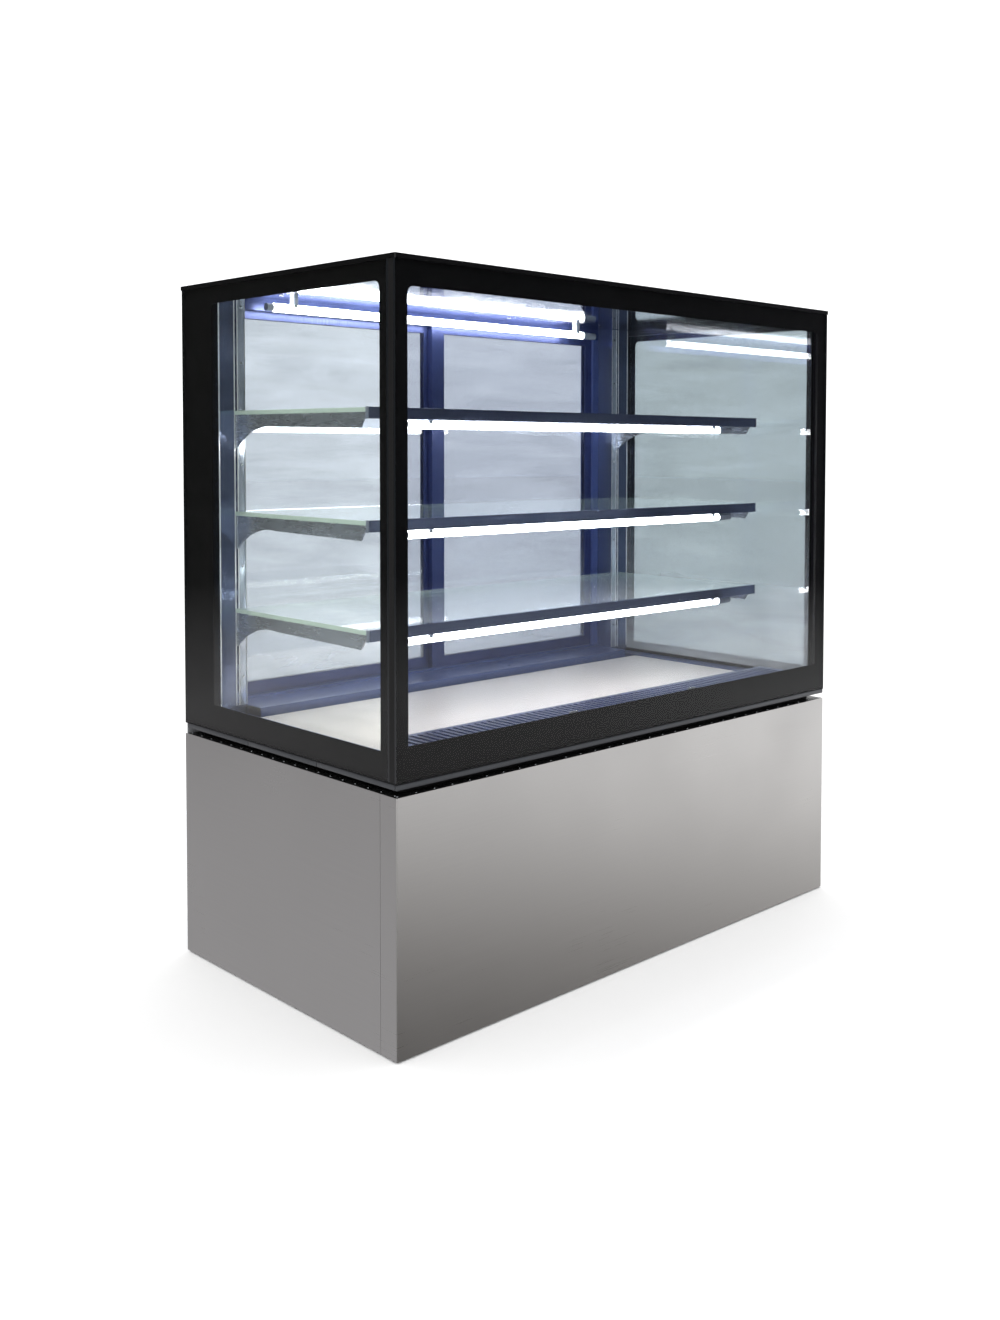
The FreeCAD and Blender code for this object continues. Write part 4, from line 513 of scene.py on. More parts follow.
class CASE_OT_machinery(bpy.types.Operator):
    """Finish the compressor, coils, fans, pipes and tray"""

    bl_idname = "case.machinery"
    bl_label = "Refrigeration parts"

    def execute(self, context):
        # Pressed steel, black stove enamel: glossy black over slightly uneven metal.
        enamel = finish("Stove-enamelled steel, black", "#0e0e0f", 0.1, 0.0, (0.16, 0.3), (6, 6, 6), 0.05)
        lay_finish(enamel, "compressor", "condenser_fan_motor", "evaporator_fan_motors")
        # Moulded rubber: matt, with a grey bloom.
        rubber = finish("Rubber, moulded", "#191919", 0.2, 0.0, (0.7, 0.85), (2, 2, 2), 0.03)
        lay_finish(rubber, "compressor_mounts")
        # Aluminium fins, mill finish: pale metal with lines rolled along the sheet.
        fins = finish("Aluminium, mill finish", "#c9cccf", 0.1, 1.0, (0.3, 0.45), (1.2, 30, 30), 0.01)
        lay_finish(fins, "condenser_coil", "evaporator_coil")
        # Copper tube, drawn and handled: warm metal, browned in patches.
        copper = finish("Copper, drawn", "#b8734f", 0.22, 1.0, (0.25, 0.45), (14, 14, 14), 0.01)
        lay_finish(copper, "refrigerant_pipes", "filter_drier")
        # Glass-filled nylon, moulded black: fine sparkle texture, low gloss.
        nylon = finish("Nylon, moulded black", "#17181a", 0.16, 0.0, (0.5, 0.62), (0.9,) * 3, 0.02)
        lay_finish(
            nylon,
            "condenser_fan",
            "left_evaporator_fan",
            "right_evaporator_fan",
            "condensate_tray",
            "controller",
            "switch_housings",
            "power_inlet",
        )
        # Polypropylene pipe, moulded white: waxy and slightly see-through at the edges.
        waste = finish(
            "Polypropylene, white", "#e2e1dc", 0.03, 0.0, (0.35, 0.45), (8, 8, 8), 0.01,
            **{"Subsurface Weight": 0.1, "Subsurface Radius": (0.003, 0.003, 0.003)},
        )
        lay_finish(waste, "drain_pipe")
        return {"FINISHED"}


class CASE_OT_controls(bpy.types.Operator):
    """Finish the controller, its buttons and the switches"""

    bl_idname = "case.controls"
    bl_label = "Controls"

    def execute(self, context):
        # Acrylic, smoked red: a dark gloss window in front of the digits.
        lens = finish(
            "Acrylic, smoked", "#1c0507", 0.05, 0.0, (0.04, 0.08), (30, 30, 30), 0.002,
            **{"Coat Weight": 0.6},
        )
        lay_finish(lens, "controller_display")
        # Polycarbonate, green, lit from inside: clear colour with a wet gloss.
        rocker = finish(
            "Polycarbonate, green", "#1f9a4c", 0.06, 0.0, (0.12, 0.2), (12, 12, 12), 0.005,
            **{"Emission Color": opaque(linear("#1f9a4c")), "Emission Strength": 0.35},
        )
        lay_finish(rocker, "light_switch", "power_switch")
        # Silicone rubber keys: dry, soft grey.
        keys = finish("Silicone rubber, grey", "#4d4e53", 0.08, 0.0, (0.55, 0.68), (0.8,) * 3, 0.01)
        lay_finish(keys, "set_button", "defrost_button", "down_button", "up_button")
        return {"FINISHED"}


class CASE_OT_cabin_floor(bpy.types.Operator):
    """Finish the deck, air grille, trims and the channel that carries the glass"""

    bl_idname = "case.cabin_floor"
    bl_label = "Deck and grille"

    def execute(self, context):
        colours = context.scene.case_colours
        # Steel deck, gloss white coat: clean white that mirrors the lamps softly.
        white = finish("Coated steel, gloss white", colours.deck, 0.008, 0.0, (0.3, 0.36), (70, 70, 70), 0.0)
        lay_finish(white, "deck_panel")
        # Aluminium, extruded and anodised dark: blue-grey metal with faint lines along the bar.
        # The sill and deck trims take the frames' anodising painted paler, as painted light.
        lay_finish(anodised(colours.sill, "X"), "deck_trims", "door_sill")
        lay_finish(anodised(colours.frame, "X"), "front_air_grille")
        # Aluminium, anodised black: near black with a satin gleam.
        black = finish(
            "Aluminium, anodised black", "#1a1b1e", 0.12, 0.75, (0.35, 0.45), (60, 60, 1.5), 0.004
        )
        lay_finish(black, "glass_channel")
        return {"FINISHED"}


# Die lines of an extruded bar in millimetres along x, y and z: coarser than real ones, so that they show
ANODISED_GRAIN = {"X": (220, 1.1, 1.1), "Z": (1.1, 1.1, 220)}


def anodised(colour, along):
    """Dark anodised aluminium whose die lines run along one axis."""
    shades = "".join(f"{round(99 * part):02d}" for part in colour)
    name = f"Aluminium, anodised {shades}, drawn along {along}"
    return bpy.data.materials.get(name) or finish(
        name, colour, 0.1, 0.45, (0.26, 0.36), ANODISED_GRAIN[along], 0.004
    )


class CASE_OT_glazing(bpy.types.Operator):
    """Finish the glass units with their borders and seals"""

    bl_idname = "case.glazing"
    bl_label = "Glass units"

    def execute(self, context):
        colours = context.scene.case_colours
        # Float glass with a clear coat: sharp weak mirror images over a slightly grey view.
        front = pane("Float glass, front", colours.front_tint, SEALED_EDGE, 1, 0.016)
        lay_finish(front, "front_glass")
        side = pane("Float glass, left side", colours.side_tint, SEALED_EDGE, 0, 0.04, 0.035)
        lay_finish(side, "left_side_glass")
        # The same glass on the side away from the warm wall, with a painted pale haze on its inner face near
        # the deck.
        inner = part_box("right_side_glass")[0][0] + MM
        right_glass = pane(
            "Float glass, right side", colours.right_glass_tint, SEALED_EDGE, 0, 0.06, 0.035, SIDE_PAINTED_HAZE, inner
        )
        lay_finish(right_glass, "right_side_glass")
        # Butyl and silicone seal: dull black.
        seal = finish("Silicone, gunned black", "#0b0b0c", 0.2, 0.0, (0.45, 0.6), (5, 5, 5), 0.05)
        lay_finish(seal, "glass_spacers")
        # Ceramic enamel, screen printed and fired: flat black seen through the glass in front of it.
        enamel = finish(
            "Ceramic enamel, fired black", colours.enamel, 0.04, 0.0, (0.5, 0.6), (45,) * 3, 0.0,
            **{"Specular IOR Level": 0.1},
        )
        lay_finish(enamel, "glass_borders")
        return {"FINISHED"}


class CASE_OT_cabin_frame(bpy.types.Operator):
    """Finish the roof, ceiling and the frame round the doors"""

    bl_idname = "case.cabin_frame"
    bl_label = "Roof and door frame"

    def execute(self, context):
        colours = context.scene.case_colours
        # Coated steel, gloss black: deep black with a clear reflection.
        gloss = finish("Coated steel, gloss black", "#0c0c0d", 0.08, 0.0, (0.14, 0.22), (4, 4, 4), 0.006)
        lay_finish(gloss, "top_panel")
        # Stainless steel, mirror polished: a slightly wavy dark mirror.
        mirror = finish(
            "Stainless steel, mirror polished", "#9fa4b4", 0.02, 1.0, (0.05, 0.1), (90, 90, 90), 0.03
        )
        lay_finish(mirror, "ceiling_liner")
        # Stainless steel, bright annealed: a bluish mirror that also scatters the lamps a little.
        bright = finish(
            "Stainless steel, bright annealed", "#737f9f", 0.04, 0.7, (0.08, 0.16), (50, 50, 200), 0.02
        )
        lay_finish(bright, "shelf_uprights")
        lay_finish(anodised(colours.frame, "X"), "door_header")
        # Aluminium, anodised blue-grey: painted paler than the door frames, as painted lamp light where the
        # lamps shine straight on it.
        jamb = finish(
            "Aluminium, anodised blue-grey", colours.jamb, 0.1, 0.3, (0.26, 0.36), ANODISED_GRAIN["Z"], 0.004
        )
        lay_finish(jamb, "door_jambs")
        return {"FINISHED"}


class CASE_OT_doors(bpy.types.Operator):
    """Finish the two sliding doors"""

    bl_idname = "case.doors"
    bl_label = "Sliding doors"

    def execute(self, context):
        colours = context.scene.case_colours
        lay_finish(anodised(colours.frame, "Z"), "left_door_frame", "right_door_frame")
        # Float glass, clear: streaked by wiping, with a painted pale haze low down.
        glass = pane("Float glass, door", colours.door_tint, colours.glass_edge, 1, 0.07, 0.07, DOOR_PAINTED_HAZE)
        lay_finish(glass, "left_door_glass", "right_door_glass")
        return {"FINISHED"}


# Radius on the edges of a shelf rail in millimetres
RAIL_EDGE = 1.0


class CASE_OT_shelving(bpy.types.Operator):
    """Finish the shelves with their brackets, rails and lamps"""

    bl_idname = "case.shelving"
    bl_label = "Shelves and lamps"

    def execute(self, context):
        colours = context.scene.case_colours
        # Toughened glass with polished edges: almost clear, with a pale green line round it, green in its own
        # colour and brightened by a painted glow.
        # The shelves carry a painted pale haze, heavier on the lower ones.
        glass = pane("Toughened glass, shelf", colours.shelf_tint, colours.glass_edge, 2, 0.1, 0.02, SHELF_PAINTED_HAZE)
        lay_finish(glass, "glass_shelves")
        # Stainless steel, satin polished: soft grey metal.
        satin = finish("Stainless steel, satin", "#c4c9d4", 0.015, 0.75, (0.24, 0.3), (60, 60, 6), 0.0)
        lay_finish(satin, "shelf_brackets")
        # Aluminium, polished and anodised dark: a narrow dark mirror.
        rail = finish("Aluminium, polished dark", "#76809f", 0.04, 0.7, (0.12, 0.2), (200, 2, 2), 0.001)
        lay_finish(rail, "shelf_rails")
        soften_edges(("shelf_rails",), RAIL_EDGE)
        stage = context.scene.case_stage
        # Opal polycarbonate over diodes: an even white glow, too bright to look into.
        lamps = lamp_tube("Polycarbonate, opal, lit", colours.lamp, stage.lamp_power)
        lay_finish(lamps, "led_lamps")
        # Polycarbonate clips: pale, almost clear.
        clips = finish("Polycarbonate, clear", "#b4bac4", 0.04, 0.0, (0.08, 0.16), (6, 6, 6), 0.005)
        lay_finish(clips, "lamp_holders")
        return {"FINISHED"}


# Middle heights of the screws that hold the uprights, and the top of each shelf's bracket, in millimetres
UPRIGHT_SCREWS = (560, 780, 980, 1180, 1290)
SHELF_LEVELS = (688, 880, 1078)
# Across one upright from its inner edge, in millimetres: the bright facing and the painted highlight lines on
# its edges, each from its start to its end, and the line of screws
UPRIGHT_WIDTH = 57.7
FACING = (0.6, 15.0)
PAINTED_HIGHLIGHT_LINES = ((-0.3, 2.2), (15.4, 17.9), (22.1, 24.6), (54.8, 57.6))
FACING_THICK = 0.4
SCREW_ACROSS = 8.5


class CASE_OT_upright_facings(bpy.types.Operator):
    """Make the bright facings, painted edge highlights and screws of the two uprights"""

    bl_idname = "case.upright_facings"
    bl_label = "Upright facings"

    def execute(self, context):
        low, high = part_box("shelf_uprights")
        front = low[1]
        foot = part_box("deck_trims")[1][2] + MM
        head = high[2] - MM
        # Stainless steel, polished strip: pale and bright beside the darker upright.
        strip = finish(
            "Stainless steel, polished strip", "#c9d2e2", 0.04, 0.6, (0.12, 0.22), (40, 40, 300), 0.01
        )
        # Painted highlights: near-white strips along the upright's edges, white under any light, in place of
        # the lines of light that polished edges catch.
        ground = finish(
            "Stainless steel, ground edge", "#f3f5fa", 0.03, 0.25, (0.15, 0.25), (20, 20, 120), 0.005
        )
        screws = bpy.data.materials["Zinc-plated steel"]
        for side, word in ((-1, "left"), (1, "right")):
            inner = side * (high[0] - UPRIGHT_WIDTH * MM)

            def slabs(spans, side=side, inner=inner):
                def shape_slabs(shape):
                    for start, end in spans:
                        near, far = sorted((inner + side * start * MM, inner + side * end * MM))
                        low_corner = (near, front - FACING_THICK * MM, foot)
                        block(shape, low_corner, (far, front - 0.02 * MM, head), 0.0001)

                return shape_slabs

            piece(f"{word}_upright_facing", slabs((FACING,)), strip, "cabinet")
            piece(f"{word}_upright_painted_highlights", slabs(PAINTED_HIGHLIGHT_LINES), ground, "cabinet")

            def heads(shape, side=side, inner=inner):
                across, out = inner + side * SCREW_ACROSS * MM, front - FACING_THICK * MM
                for level in UPRIGHT_SCREWS:
                    dome(shape, (across, out, level * MM), 2.8 * MM, 1.3 * MM, (0, -1, 0))

            piece(f"{word}_upright_screws", heads, screws, "cabinet")
        return {"FINISHED"}


# Grille clips in millimetres: distance from the middle, depth, thickness and rise of the tab against the
# glass. Then the thickness of a rail's end cap.
CLIP_X = 170
CLIP_DEPTH = 22
CLIP_THICK = 1.4
CLIP_RISE = 13
CAP_THICK = 2
# Steps round the hollow face of a sealant bead
BEAD_STEPS = 5


class CASE_OT_cabin_fittings(bpy.types.Operator):
    """Make the grille clips, the rail end caps and the corner seals"""

    bl_idname = "case.cabin_fittings"
    bl_label = "Clips, caps and seals"

    def execute(self, context):
        sizes = context.scene.case_sizes
        self.clip_grille(sizes)
        self.cap_rails()
        self.seal_corners(sizes)
        return {"FINISHED"}

    def clip_grille(self, sizes):
        low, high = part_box("front_air_grille")
        front, top = low[1] + 0.3 * MM, high[2] + 0.05 * MM

        def shape_clips(shape):
            for middle in (-CLIP_X * MM, CLIP_X * MM):
                left, right = middle - sizes.clip_width / 2, middle + sizes.clip_width / 2
                for deep, tall in ((CLIP_DEPTH, CLIP_THICK), (CLIP_THICK, CLIP_RISE)):
                    block(shape, (left, front, top), (right, front + deep * MM, top + tall * MM), 0.0004)
                spot = (middle, front + CLIP_DEPTH * MM / 2, top + CLIP_THICK * MM)
                dome(shape, spot, 3.2 * MM, 1.2 * MM, (0, 0, 1))

        # Spring steel, nickel plated: small and bright.
        nickel = finish("Spring steel, nickel plated", "#e8eaf0", 0.04, 0.7, (0.14, 0.24), (4, 4, 4), 0.01)
        piece("grille_clips", shape_clips, nickel, "cabinet")

    def cap_rails(self):
        low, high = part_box("shelf_rails")
        drop, rise = SHELF_LEVELS[0] * MM - low[2], high[2] - SHELF_LEVELS[-1] * MM

        def shape_caps(shape):
            for level in SHELF_LEVELS:
                for start in (low[0] - CAP_THICK * MM, high[0]):
                    block(
                        shape,
                        (start, low[1] - 0.4 * MM, level * MM - drop - 0.4 * MM),
                        (start + CAP_THICK * MM, low[1] + 7.4 * MM, level * MM + rise + 0.4 * MM),
                        0.0006,
                    )

        # Polyamide end cap, moulded grey: satin, with bright rounded edges.
        cap = finish("Polyamide, moulded grey", "#7f8698", 0.05, 0.0, (0.25, 0.35), (1.5,) * 3, 0.01)
        piece("rail_end_caps", shape_caps, cap, "cabinet")

    def seal_corners(self, sizes):
        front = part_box("front_glass")[1][1]
        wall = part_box("right_side_glass")[0][0]
        foot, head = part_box("glass_channel")[1][2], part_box("ceiling_liner")[0][2]
        bead = sizes.seal_bead / MM
        turns = [math.pi / 2 * k / BEAD_STEPS for k in range(BEAD_STEPS + 1)]
        hollow = [(bead - bead * math.sin(turn), bead - bead * math.cos(turn)) for turn in turns]

        def shape_beads(shape):
            for side in (-1, 1):
                outline = [(-side * x, y) for x, y in [(0, 0), *hollow[::-1]]]
                plate(shape, Matrix.Translation((side * wall, front, foot)), outline, head - foot)

        seal = bpy.data.materials["Silicone, gunned black"]
        piece("corner_seals", shape_beads, seal, "cabinet")


# Vent gap in millimetres: thickness of the edging strip, how far it stands in, the joints between its lengths,
# and how far rivets stand in from the edge
STRIP_THICK = 3.5
STRIP_INSET = 1.0
STRIP_JOINT = 1.6
RIVET_INSET = 7.0


class CASE_OT_gap_trim(bpy.types.Operator):
    """Make the edging strips under the glass and the rivets along the vent ledge"""

    bl_idname = "case.gap_trim"
    bl_label = "Vent gap trim"

    def execute(self, context):
        sizes = context.scene.case_sizes
        low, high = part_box("glass_channel")
        under = low[2] - 0.05 * MM
        left, right = low[0] + STRIP_INSET * MM, high[0] - STRIP_INSET * MM
        front, rear = low[1] + STRIP_INSET * MM, high[1] - 6 * MM
        thick = STRIP_THICK * MM

        def shape_strips(shape):
            block(shape, (left, front, under - sizes.strip_height), (right, front + thick, under), 0.0005)
            joints = even_places(front + thick + STRIP_JOINT * MM, rear, (rear - front) / 3)
            for start, end in zip(joints, joints[1:]):
                for inner in (left, right - thick):
                    block(
                        shape,
                        (inner, start, under - sizes.strip_height),
                        (inner + thick, end - STRIP_JOINT * MM, under),
                        0.0005,
                    )

        # Aluminium edging, anodised charcoal: a dull grey line in the shade of the gap.
        charcoal = finish(
            "Aluminium, anodised charcoal", "#4a4c50", 0.1, 0.4, (0.35, 0.45), (60, 60, 1.5), 0.004
        )
        piece("gap_edging", shape_strips, charcoal, "cabinet")

        ledge_low, ledge_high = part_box("vent_ledge")
        inset = RIVET_INSET * MM

        def shape_rivets(shape):
            pitch = sizes.rivet_pitch
            spots = [(x, ledge_low[1] + inset) for x in even_places(left + inset, right - inset, pitch)]
            for y in even_places(ledge_low[1] + 2 * inset, ledge_high[1] - inset, pitch):
                spots += [(ledge_low[0] + inset, y), (ledge_high[0] - inset, y)]
            for x, y in spots:
                dome(shape, (x, y, ledge_high[2] + 0.02 * MM), 2.0 * MM, 1.3 * MM, (0, 0, 1))

        plated = bpy.data.materials["Zinc-plated steel"]
        piece("ledge_rivets", shape_rivets, plated, "cabinet")
        return {"FINISHED"}


# Lit bars of a digit as (across, up, wide, tall) in shares of its height, and which of them each digit lights
DIGIT_BARS = {
    "a": (0, 0.45, 0.42, 0.09),
    "b": (0.24, 0.24, 0.09, 0.38),
    "c": (0.24, -0.24, 0.09, 0.38),
    "d": (0, -0.45, 0.42, 0.09),
    "e": (-0.24, -0.24, 0.09, 0.38),
    "f": (-0.24, 0.24, 0.09, 0.38),
    "g": (0, 0, 0.42, 0.09),
}
# The reading: which bars are lit, how far across in shares of the height and a pitch, the size and the lift of
# each sign. The last is a small raised degree sign.
READING = (("abgcd", -0.95, 1, 0), ("afgcd", 0.0, 1, 0), ("abfg", 0.85, 0.5, 0.25))
DIGIT_PITCH = 0.8
# Sides and inner and outer radius of the ring on a switch, in millimetres
RING_SIDES = 16
RING_RADII = (1.3, 1.3, 1.9, 1.9)
MARK_THICK = 0.00008
ARROW = [(-1.3, -0.8), (1.3, -0.8), (0, 1.1)]


class CASE_OT_control_marks(bpy.types.Operator):
    """Make the lit digits, the signs on the buttons and the marks on the switches"""

    bl_idname = "case.control_marks"
    bl_label = "Control marks"

    def execute(self, context):
        self.light_digits(context.scene.case_sizes.digit_height / MM)
        # Pad-printed ink, white: flat and dry.
        ink = finish("Printing ink, white", "#e9eaea", 0.02, 0.0, (0.55, 0.65), (0.5,) * 3, 0.001)
        star = [
            [
                (math.cos(a) * x - math.sin(a) * y, math.sin(a) * x + math.cos(a) * y)
                for x, y in bar(0, 0, 0.4, 2.8)
            ]
            for a in (0, math.pi / 3, 2 * math.pi / 3)
        ]
        signs = {
            "up_button": [ARROW],
            "down_button": [[(x, -y) for x, y in ARROW[::-1]]],
            "set_button": [bar(0, 0.7, 2.6, 0.5), bar(0, -0.7, 2.6, 0.5)],
            "defrost_button": star,
        }
        for name, outlines in signs.items():
            low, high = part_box(name)
            across, up = (low[0] + high[0]) / 2, (low[2] + high[2]) / 2
            self.print_mark(f"{name}_sign", name, across, up, outlines, ink, "button_rubber")
        ring = []
        for k in range(RING_SIDES):
            turns = [math.tau * (k + step) / RING_SIDES for step in (0, 1)]
            corners = zip(RING_RADII, (*turns, *turns[::-1]))
            ring.append([(r * math.cos(a), r * math.sin(a)) for r, a in corners])
        for name in ("light_switch", "power_switch"):
            low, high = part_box(name)
            across, quarter = (low[0] + high[0]) / 2, (high[2] - low[2]) / 4
            for word, way, outlines in (("on", 1, [bar(0, 0, 0.6, 3.6)]), ("off", -1, ring)):
                up = (low[2] + high[2]) / 2 + way * quarter
                self.print_mark(f"{name}_{word}_mark", name, across, up, outlines, ink, "green_rocker_plastic")
        return {"FINISHED"}

    def print_mark(self, name, node, x, z, outlines, ink, slot):
        place = behind(node, x, z)

        def shape_mark(shape):
            for outline in outlines:
                plate(shape, place, outline, MARK_THICK)

        piece(name, shape_mark, ink, node)

    def light_digits(self, tall):
        low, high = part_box("controller_display")
        place = behind("controller_display", (low[0] + high[0]) / 2, (low[2] + high[2]) / 2)

        def shape_digits(shape):
            for lit, shift, scale, lift in READING:
                for key in lit:
                    across, up, wide, high_bar = (value * (tall * scale) for value in DIGIT_BARS[key])
                    middle = shift * tall * DIGIT_PITCH + across
                    plate(shape, place, bar(middle, up + tall * lift, wide, high_bar), MARK_THICK)

        # Light-emitting segments behind a lens: clear red.
        glow = finish(
            "Display segment, lit red", "#ff3b2a", 0.05, 0.0, (0.3, 0.4), (1,) * 3, 0.001,
            **{"Emission Color": opaque(linear("#ff3b2a")), "Emission Strength": 1.6},
        )
        piece("lit_digits", shape_digits, glow, "cabinet")


# Pile strip in millimetres: its two sides from the door's edge, the clearance, the tufts' pitch and their waver
PILE_SIDES = (9, 4)
PILE_CLEAR = 0.5
PILE_PITCH = 4
PILE_WAVER = 0.35


class CASE_OT_door_strips(bpy.types.Operator):
    """Make the draught strip where the doors overlap"""

    bl_idname = "case.door_strips"
    bl_label = "Door strip"

    def execute(self, context):
        low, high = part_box("left_door_frame")
        behind_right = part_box("right_door_frame")[1][1]

        near, far = behind_right + PILE_CLEAR * MM, low[1]
        pitch = PILE_PITCH * MM

        def shape_pile(shape):
            rings = []
            for k, z in enumerate(even_places(low[2] + pitch, high[2] - pitch, pitch)):
                lean = PILE_WAVER * MM * math.sin(1.7 * k)
                left, right = (high[0] - side * MM + lean for side in PILE_SIDES)
                corners = ((left, near), (right, near), (right, far), (left, far))
                rings.append([shape.verts.new((x, y, z)) for x, y in corners])
            for lower, upper in zip(rings, rings[1:]):
                for k in range(4):
                    j = (k + 1) % 4
                    shape.faces.new((lower[k], lower[j], upper[j], upper[k]))
            shape.faces.new(rings[0][::-1])
            shape.faces.new(rings[-1])

        # Polypropylene pile: a dense dark brush without shine.
        pile = finish("Polypropylene pile, woven", "#2b2c30", 0.25, 0.0, (0.85, 0.95), (0.7, 0.7, 3), 0.2)
        piece("door_pile_strip", shape_pile, pile, "left_door")
        return {"FINISHED"}


# How bright the studio is for polished faces, as rows of a place and one grey level or red, green and blue.
# Place runs round the room from the back of the -X axis, or up from straight below to straight above.
WALL_LEVELS = (
    (0.0, 0.06), (0.09, 0.8), (0.17, 0.8), (0.24, 0.17), (0.31, 0.012, 0.012, 0.015),
    (0.38, 0.012, 0.012, 0.015), (0.41, 0.05, 0.05, 0.06), (0.45, 0.5, 0.5, 0.53), (0.53, 0.9),
    (0.6, 1.0), (0.73, 1.0), (0.78, 0.02), (1.0, 0.02),
)
CEILING_LEVELS = ((0.0, 0), (0.65, 0), (0.9, 0.8), (1.0, 1))
GROUND_LEVELS = (
    (0.0, 0.5), (0.13, 0.85), (0.25, 0.6), (0.34, 0.77, 0.77, 0.78), (0.37, 0.84, 0.84, 0.85),
    (0.405, 1.0), (0.7, 1.0), (1.0, 0.5),
)
NEAR_GROUND_LEVELS = (
    (0.0, 0.03, 0.027, 0.024), (0.28, 0.035, 0.032, 0.03), (0.33, 0.225, 0.215, 0.205), (0.37, 0.71, 0.7, 0.69),
    (0.41, 1.0), (1.0, 1.0),
)
# The even ground on one side: its level, which way it lies, and where it starts and is full
EVEN_GROUND = (0.275, 0.27, 0.275, 1.0)
EVEN_SIDE = (-0.57, 0.82, 0)
EVEN_FROM, EVEN_FULL = 0.2, 0.7
# Where the ground gives way to the walls, as the upward part of a direction
GROUND_ENDS, WALLS_START = -0.19, -0.1
WHITE = (1, 1, 1, 1)

# Camera: where it stands in metres, its turn, tip and roll in degrees, and how far its frame is shifted
CAMERA_PLACE = (-1.8653, -2.0753, 1.0215)
CAMERA_TURN, CAMERA_TIP, CAMERA_ROLL = -46.9, 90 - 2.4, 0.3
CAMERA_SHIFT = (-0.106, -0.121)
FLOOR_HALF = 30.0


def level_ramp(tree, place, levels):
    """A colour ramp whose stops are rows of a place and one grey level or red, green and blue."""
    made = add(tree, "ValToRGB", {0: place})
    stops = made.color_ramp.elements
    while len(stops) < len(levels):
        stops.new(0.5)
    for stop, (at, *level) in zip(stops, levels):
        stop.position = at
        stop.color = (*(level * 3)[:3], 1.0)
    return made.outputs[0]


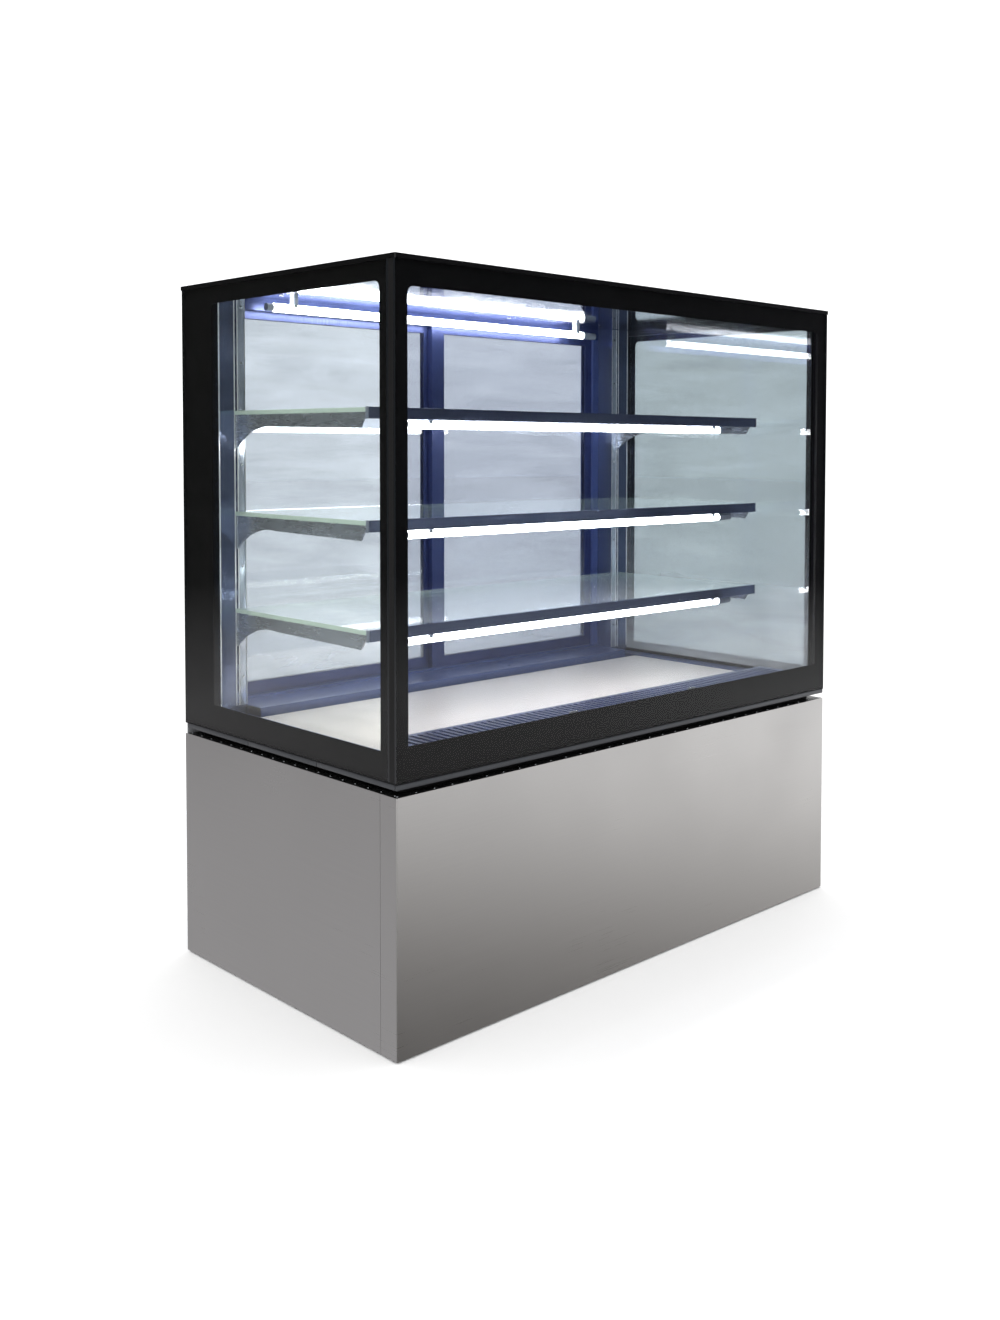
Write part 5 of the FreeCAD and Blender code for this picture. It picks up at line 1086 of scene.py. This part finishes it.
class CASE_OT_stage(bpy.types.Operator):
    """Set up the floor, the studio light and the camera"""

    bl_idname = "case.stage"
    bl_label = "Floor, light and camera"

    def execute(self, context):
        scene = context.scene
        settings = scene.case_stage
        self.lay_floor(scene)
        self.light_studio(scene, settings)
        self.place_camera(scene, settings)
        scene.view_settings.view_transform = "Standard"
        scene.cycles.transparent_max_bounces = 48
        scene.cycles.max_bounces = 10
        return {"FINISHED"}

    def lay_floor(self, scene):
        mesh = bpy.data.meshes.new("studio_floor")
        half = FLOOR_HALF
        corners = [(-half, -half, 0), (half, -half, 0), (half, half, 0), (-half, half, 0)]
        mesh.from_pydata(corners, [], [(0, 1, 2, 3)])
        floor = bpy.data.objects.new("studio_floor", mesh)
        scene.collection.objects.link(floor)
        # Painted studio floor: pale and matt.
        paint = finish(
            "Floor paint, pale", "#f6f6f6", 0.004, 0.0, (0.8, 0.9), (30, 30, 30), 0.0,
            **{"Specular IOR Level": 0.0},
        )
        mesh.materials.append(paint)
        floor.visible_glossy = False

    def light_studio(self, scene, settings):
        world = bpy.data.worlds.new("Studio")
        scene.world = world
        world.use_nodes = True
        world.cycles.sampling_method = "NONE"
        tree = world.node_tree
        tree.nodes.clear()
        direction = add(tree, "TexCoord").outputs["Generated"]
        parts = add(tree, "SeparateXYZ", {0: direction}).outputs
        bearing = add(tree, "Math", {0: parts["Y"], 1: parts["X"]}, operation="ARCTAN2").outputs[0]
        round_room = add(tree, "MapRange", {0: bearing, 1: -math.pi, 2: math.pi}).outputs[0]
        height = add(tree, "MapRange", {0: parts["Z"], 1: -1.0, 2: 1.0}).outputs[0]
        walls = level_ramp(tree, round_room, WALL_LEVELS)
        ceiling = level_ramp(tree, height, CEILING_LEVELS)
        upper = add(tree, "Mix", {0: ceiling, 6: walls, 7: WHITE}, data_type="RGBA").outputs[2]
        ground = level_ramp(tree, round_room, GROUND_LEVELS)
        near = level_ramp(tree, height, NEAR_GROUND_LEVELS)
        shaded = add(
            tree, "Mix", {0: 1.0, 6: ground, 7: near}, data_type="RGBA", blend_type="MULTIPLY"
        ).outputs[2]
        left = add(
            tree, "VectorMath", {0: direction, 1: EVEN_SIDE}, operation="DOT_PRODUCT"
        ).outputs["Value"]
        even = add(tree, "MapRange", {0: left, 1: EVEN_FROM, 2: EVEN_FULL}).outputs[0]
        lower = add(tree, "Mix", {0: even, 6: shaded, 7: EVEN_GROUND}, data_type="RGBA").outputs[2]
        above = add(tree, "MapRange", {0: parts["Z"], 1: GROUND_ENDS, 2: WALLS_START}).outputs[0]
        seen = add(tree, "Mix", {0: above, 6: lower, 7: upper}, data_type="RGBA").outputs[2]
        mirrored = add(tree, "Background", {"Color": seen, "Strength": settings.mirrored}).outputs[0]
        plain = add(tree, "Background", {"Color": WHITE, "Strength": settings.studio}).outputs[0]
        glossy_ray = add(tree, "LightPath").outputs["Is Glossy Ray"]
        both = add(tree, "MixShader", {0: glossy_ray, 1: plain, 2: mirrored}).outputs[0]
        add(tree, "OutputWorld", {"Surface": both})

    def place_camera(self, scene, settings):
        data = bpy.data.cameras.new("studio_camera")
        data.lens = settings.lens
        data.shift_x, data.shift_y = CAMERA_SHIFT
        camera = bpy.data.objects.new("studio_camera", data)
        scene.collection.objects.link(camera)
        turn = Matrix.Rotation(math.radians(CAMERA_TURN), 4, "Z")
        tip = Matrix.Rotation(math.radians(CAMERA_TIP), 4, "X")
        roll = Matrix.Rotation(math.radians(CAMERA_ROLL), 4, "Z")
        camera.matrix_world = Matrix.Translation(CAMERA_PLACE) @ turn @ tip @ roll
        scene.camera = camera


class CASE_PT_display_case(bpy.types.Panel):
    """Lists the steps that finish the display case"""

    bl_idname = "CASE_PT_display_case"
    bl_label = PIECES
    bl_space_type = "VIEW_3D"
    bl_region_type = "UI"
    bl_category = PIECES

    def draw(self, context):
        for step in STEPS:
            self.layout.operator(step.bl_idname)


STEPS = (
    CASE_OT_steel_base,
    CASE_OT_machinery,
    CASE_OT_controls,
    CASE_OT_cabin_floor,
    CASE_OT_glazing,
    CASE_OT_cabin_frame,
    CASE_OT_doors,
    CASE_OT_shelving,
    CASE_OT_upright_facings,
    CASE_OT_cabin_fittings,
    CASE_OT_gap_trim,
    CASE_OT_control_marks,
    CASE_OT_door_strips,
    CASE_OT_stage,
)
GROUPS = (CaseColours, CaseSizes, CaseStage)


def register():
    for made in (*GROUPS, *STEPS, CASE_PT_display_case):
        bpy.utils.register_class(made)
    bpy.types.Scene.case_colours = PointerProperty(type=CaseColours)
    bpy.types.Scene.case_sizes = PointerProperty(type=CaseSizes)
    bpy.types.Scene.case_stage = PointerProperty(type=CaseStage)


def unregister():
    del bpy.types.Scene.case_stage
    del bpy.types.Scene.case_sizes
    del bpy.types.Scene.case_colours
    for made in (CASE_PT_display_case, *reversed(STEPS), *reversed(GROUPS)):
        bpy.utils.unregister_class(made)


def main():
    register()
    for step in STEPS:
        group, name = step.bl_idname.split(".")
        getattr(getattr(bpy.ops, group), name)()


if __name__ == "__main__":
    main()
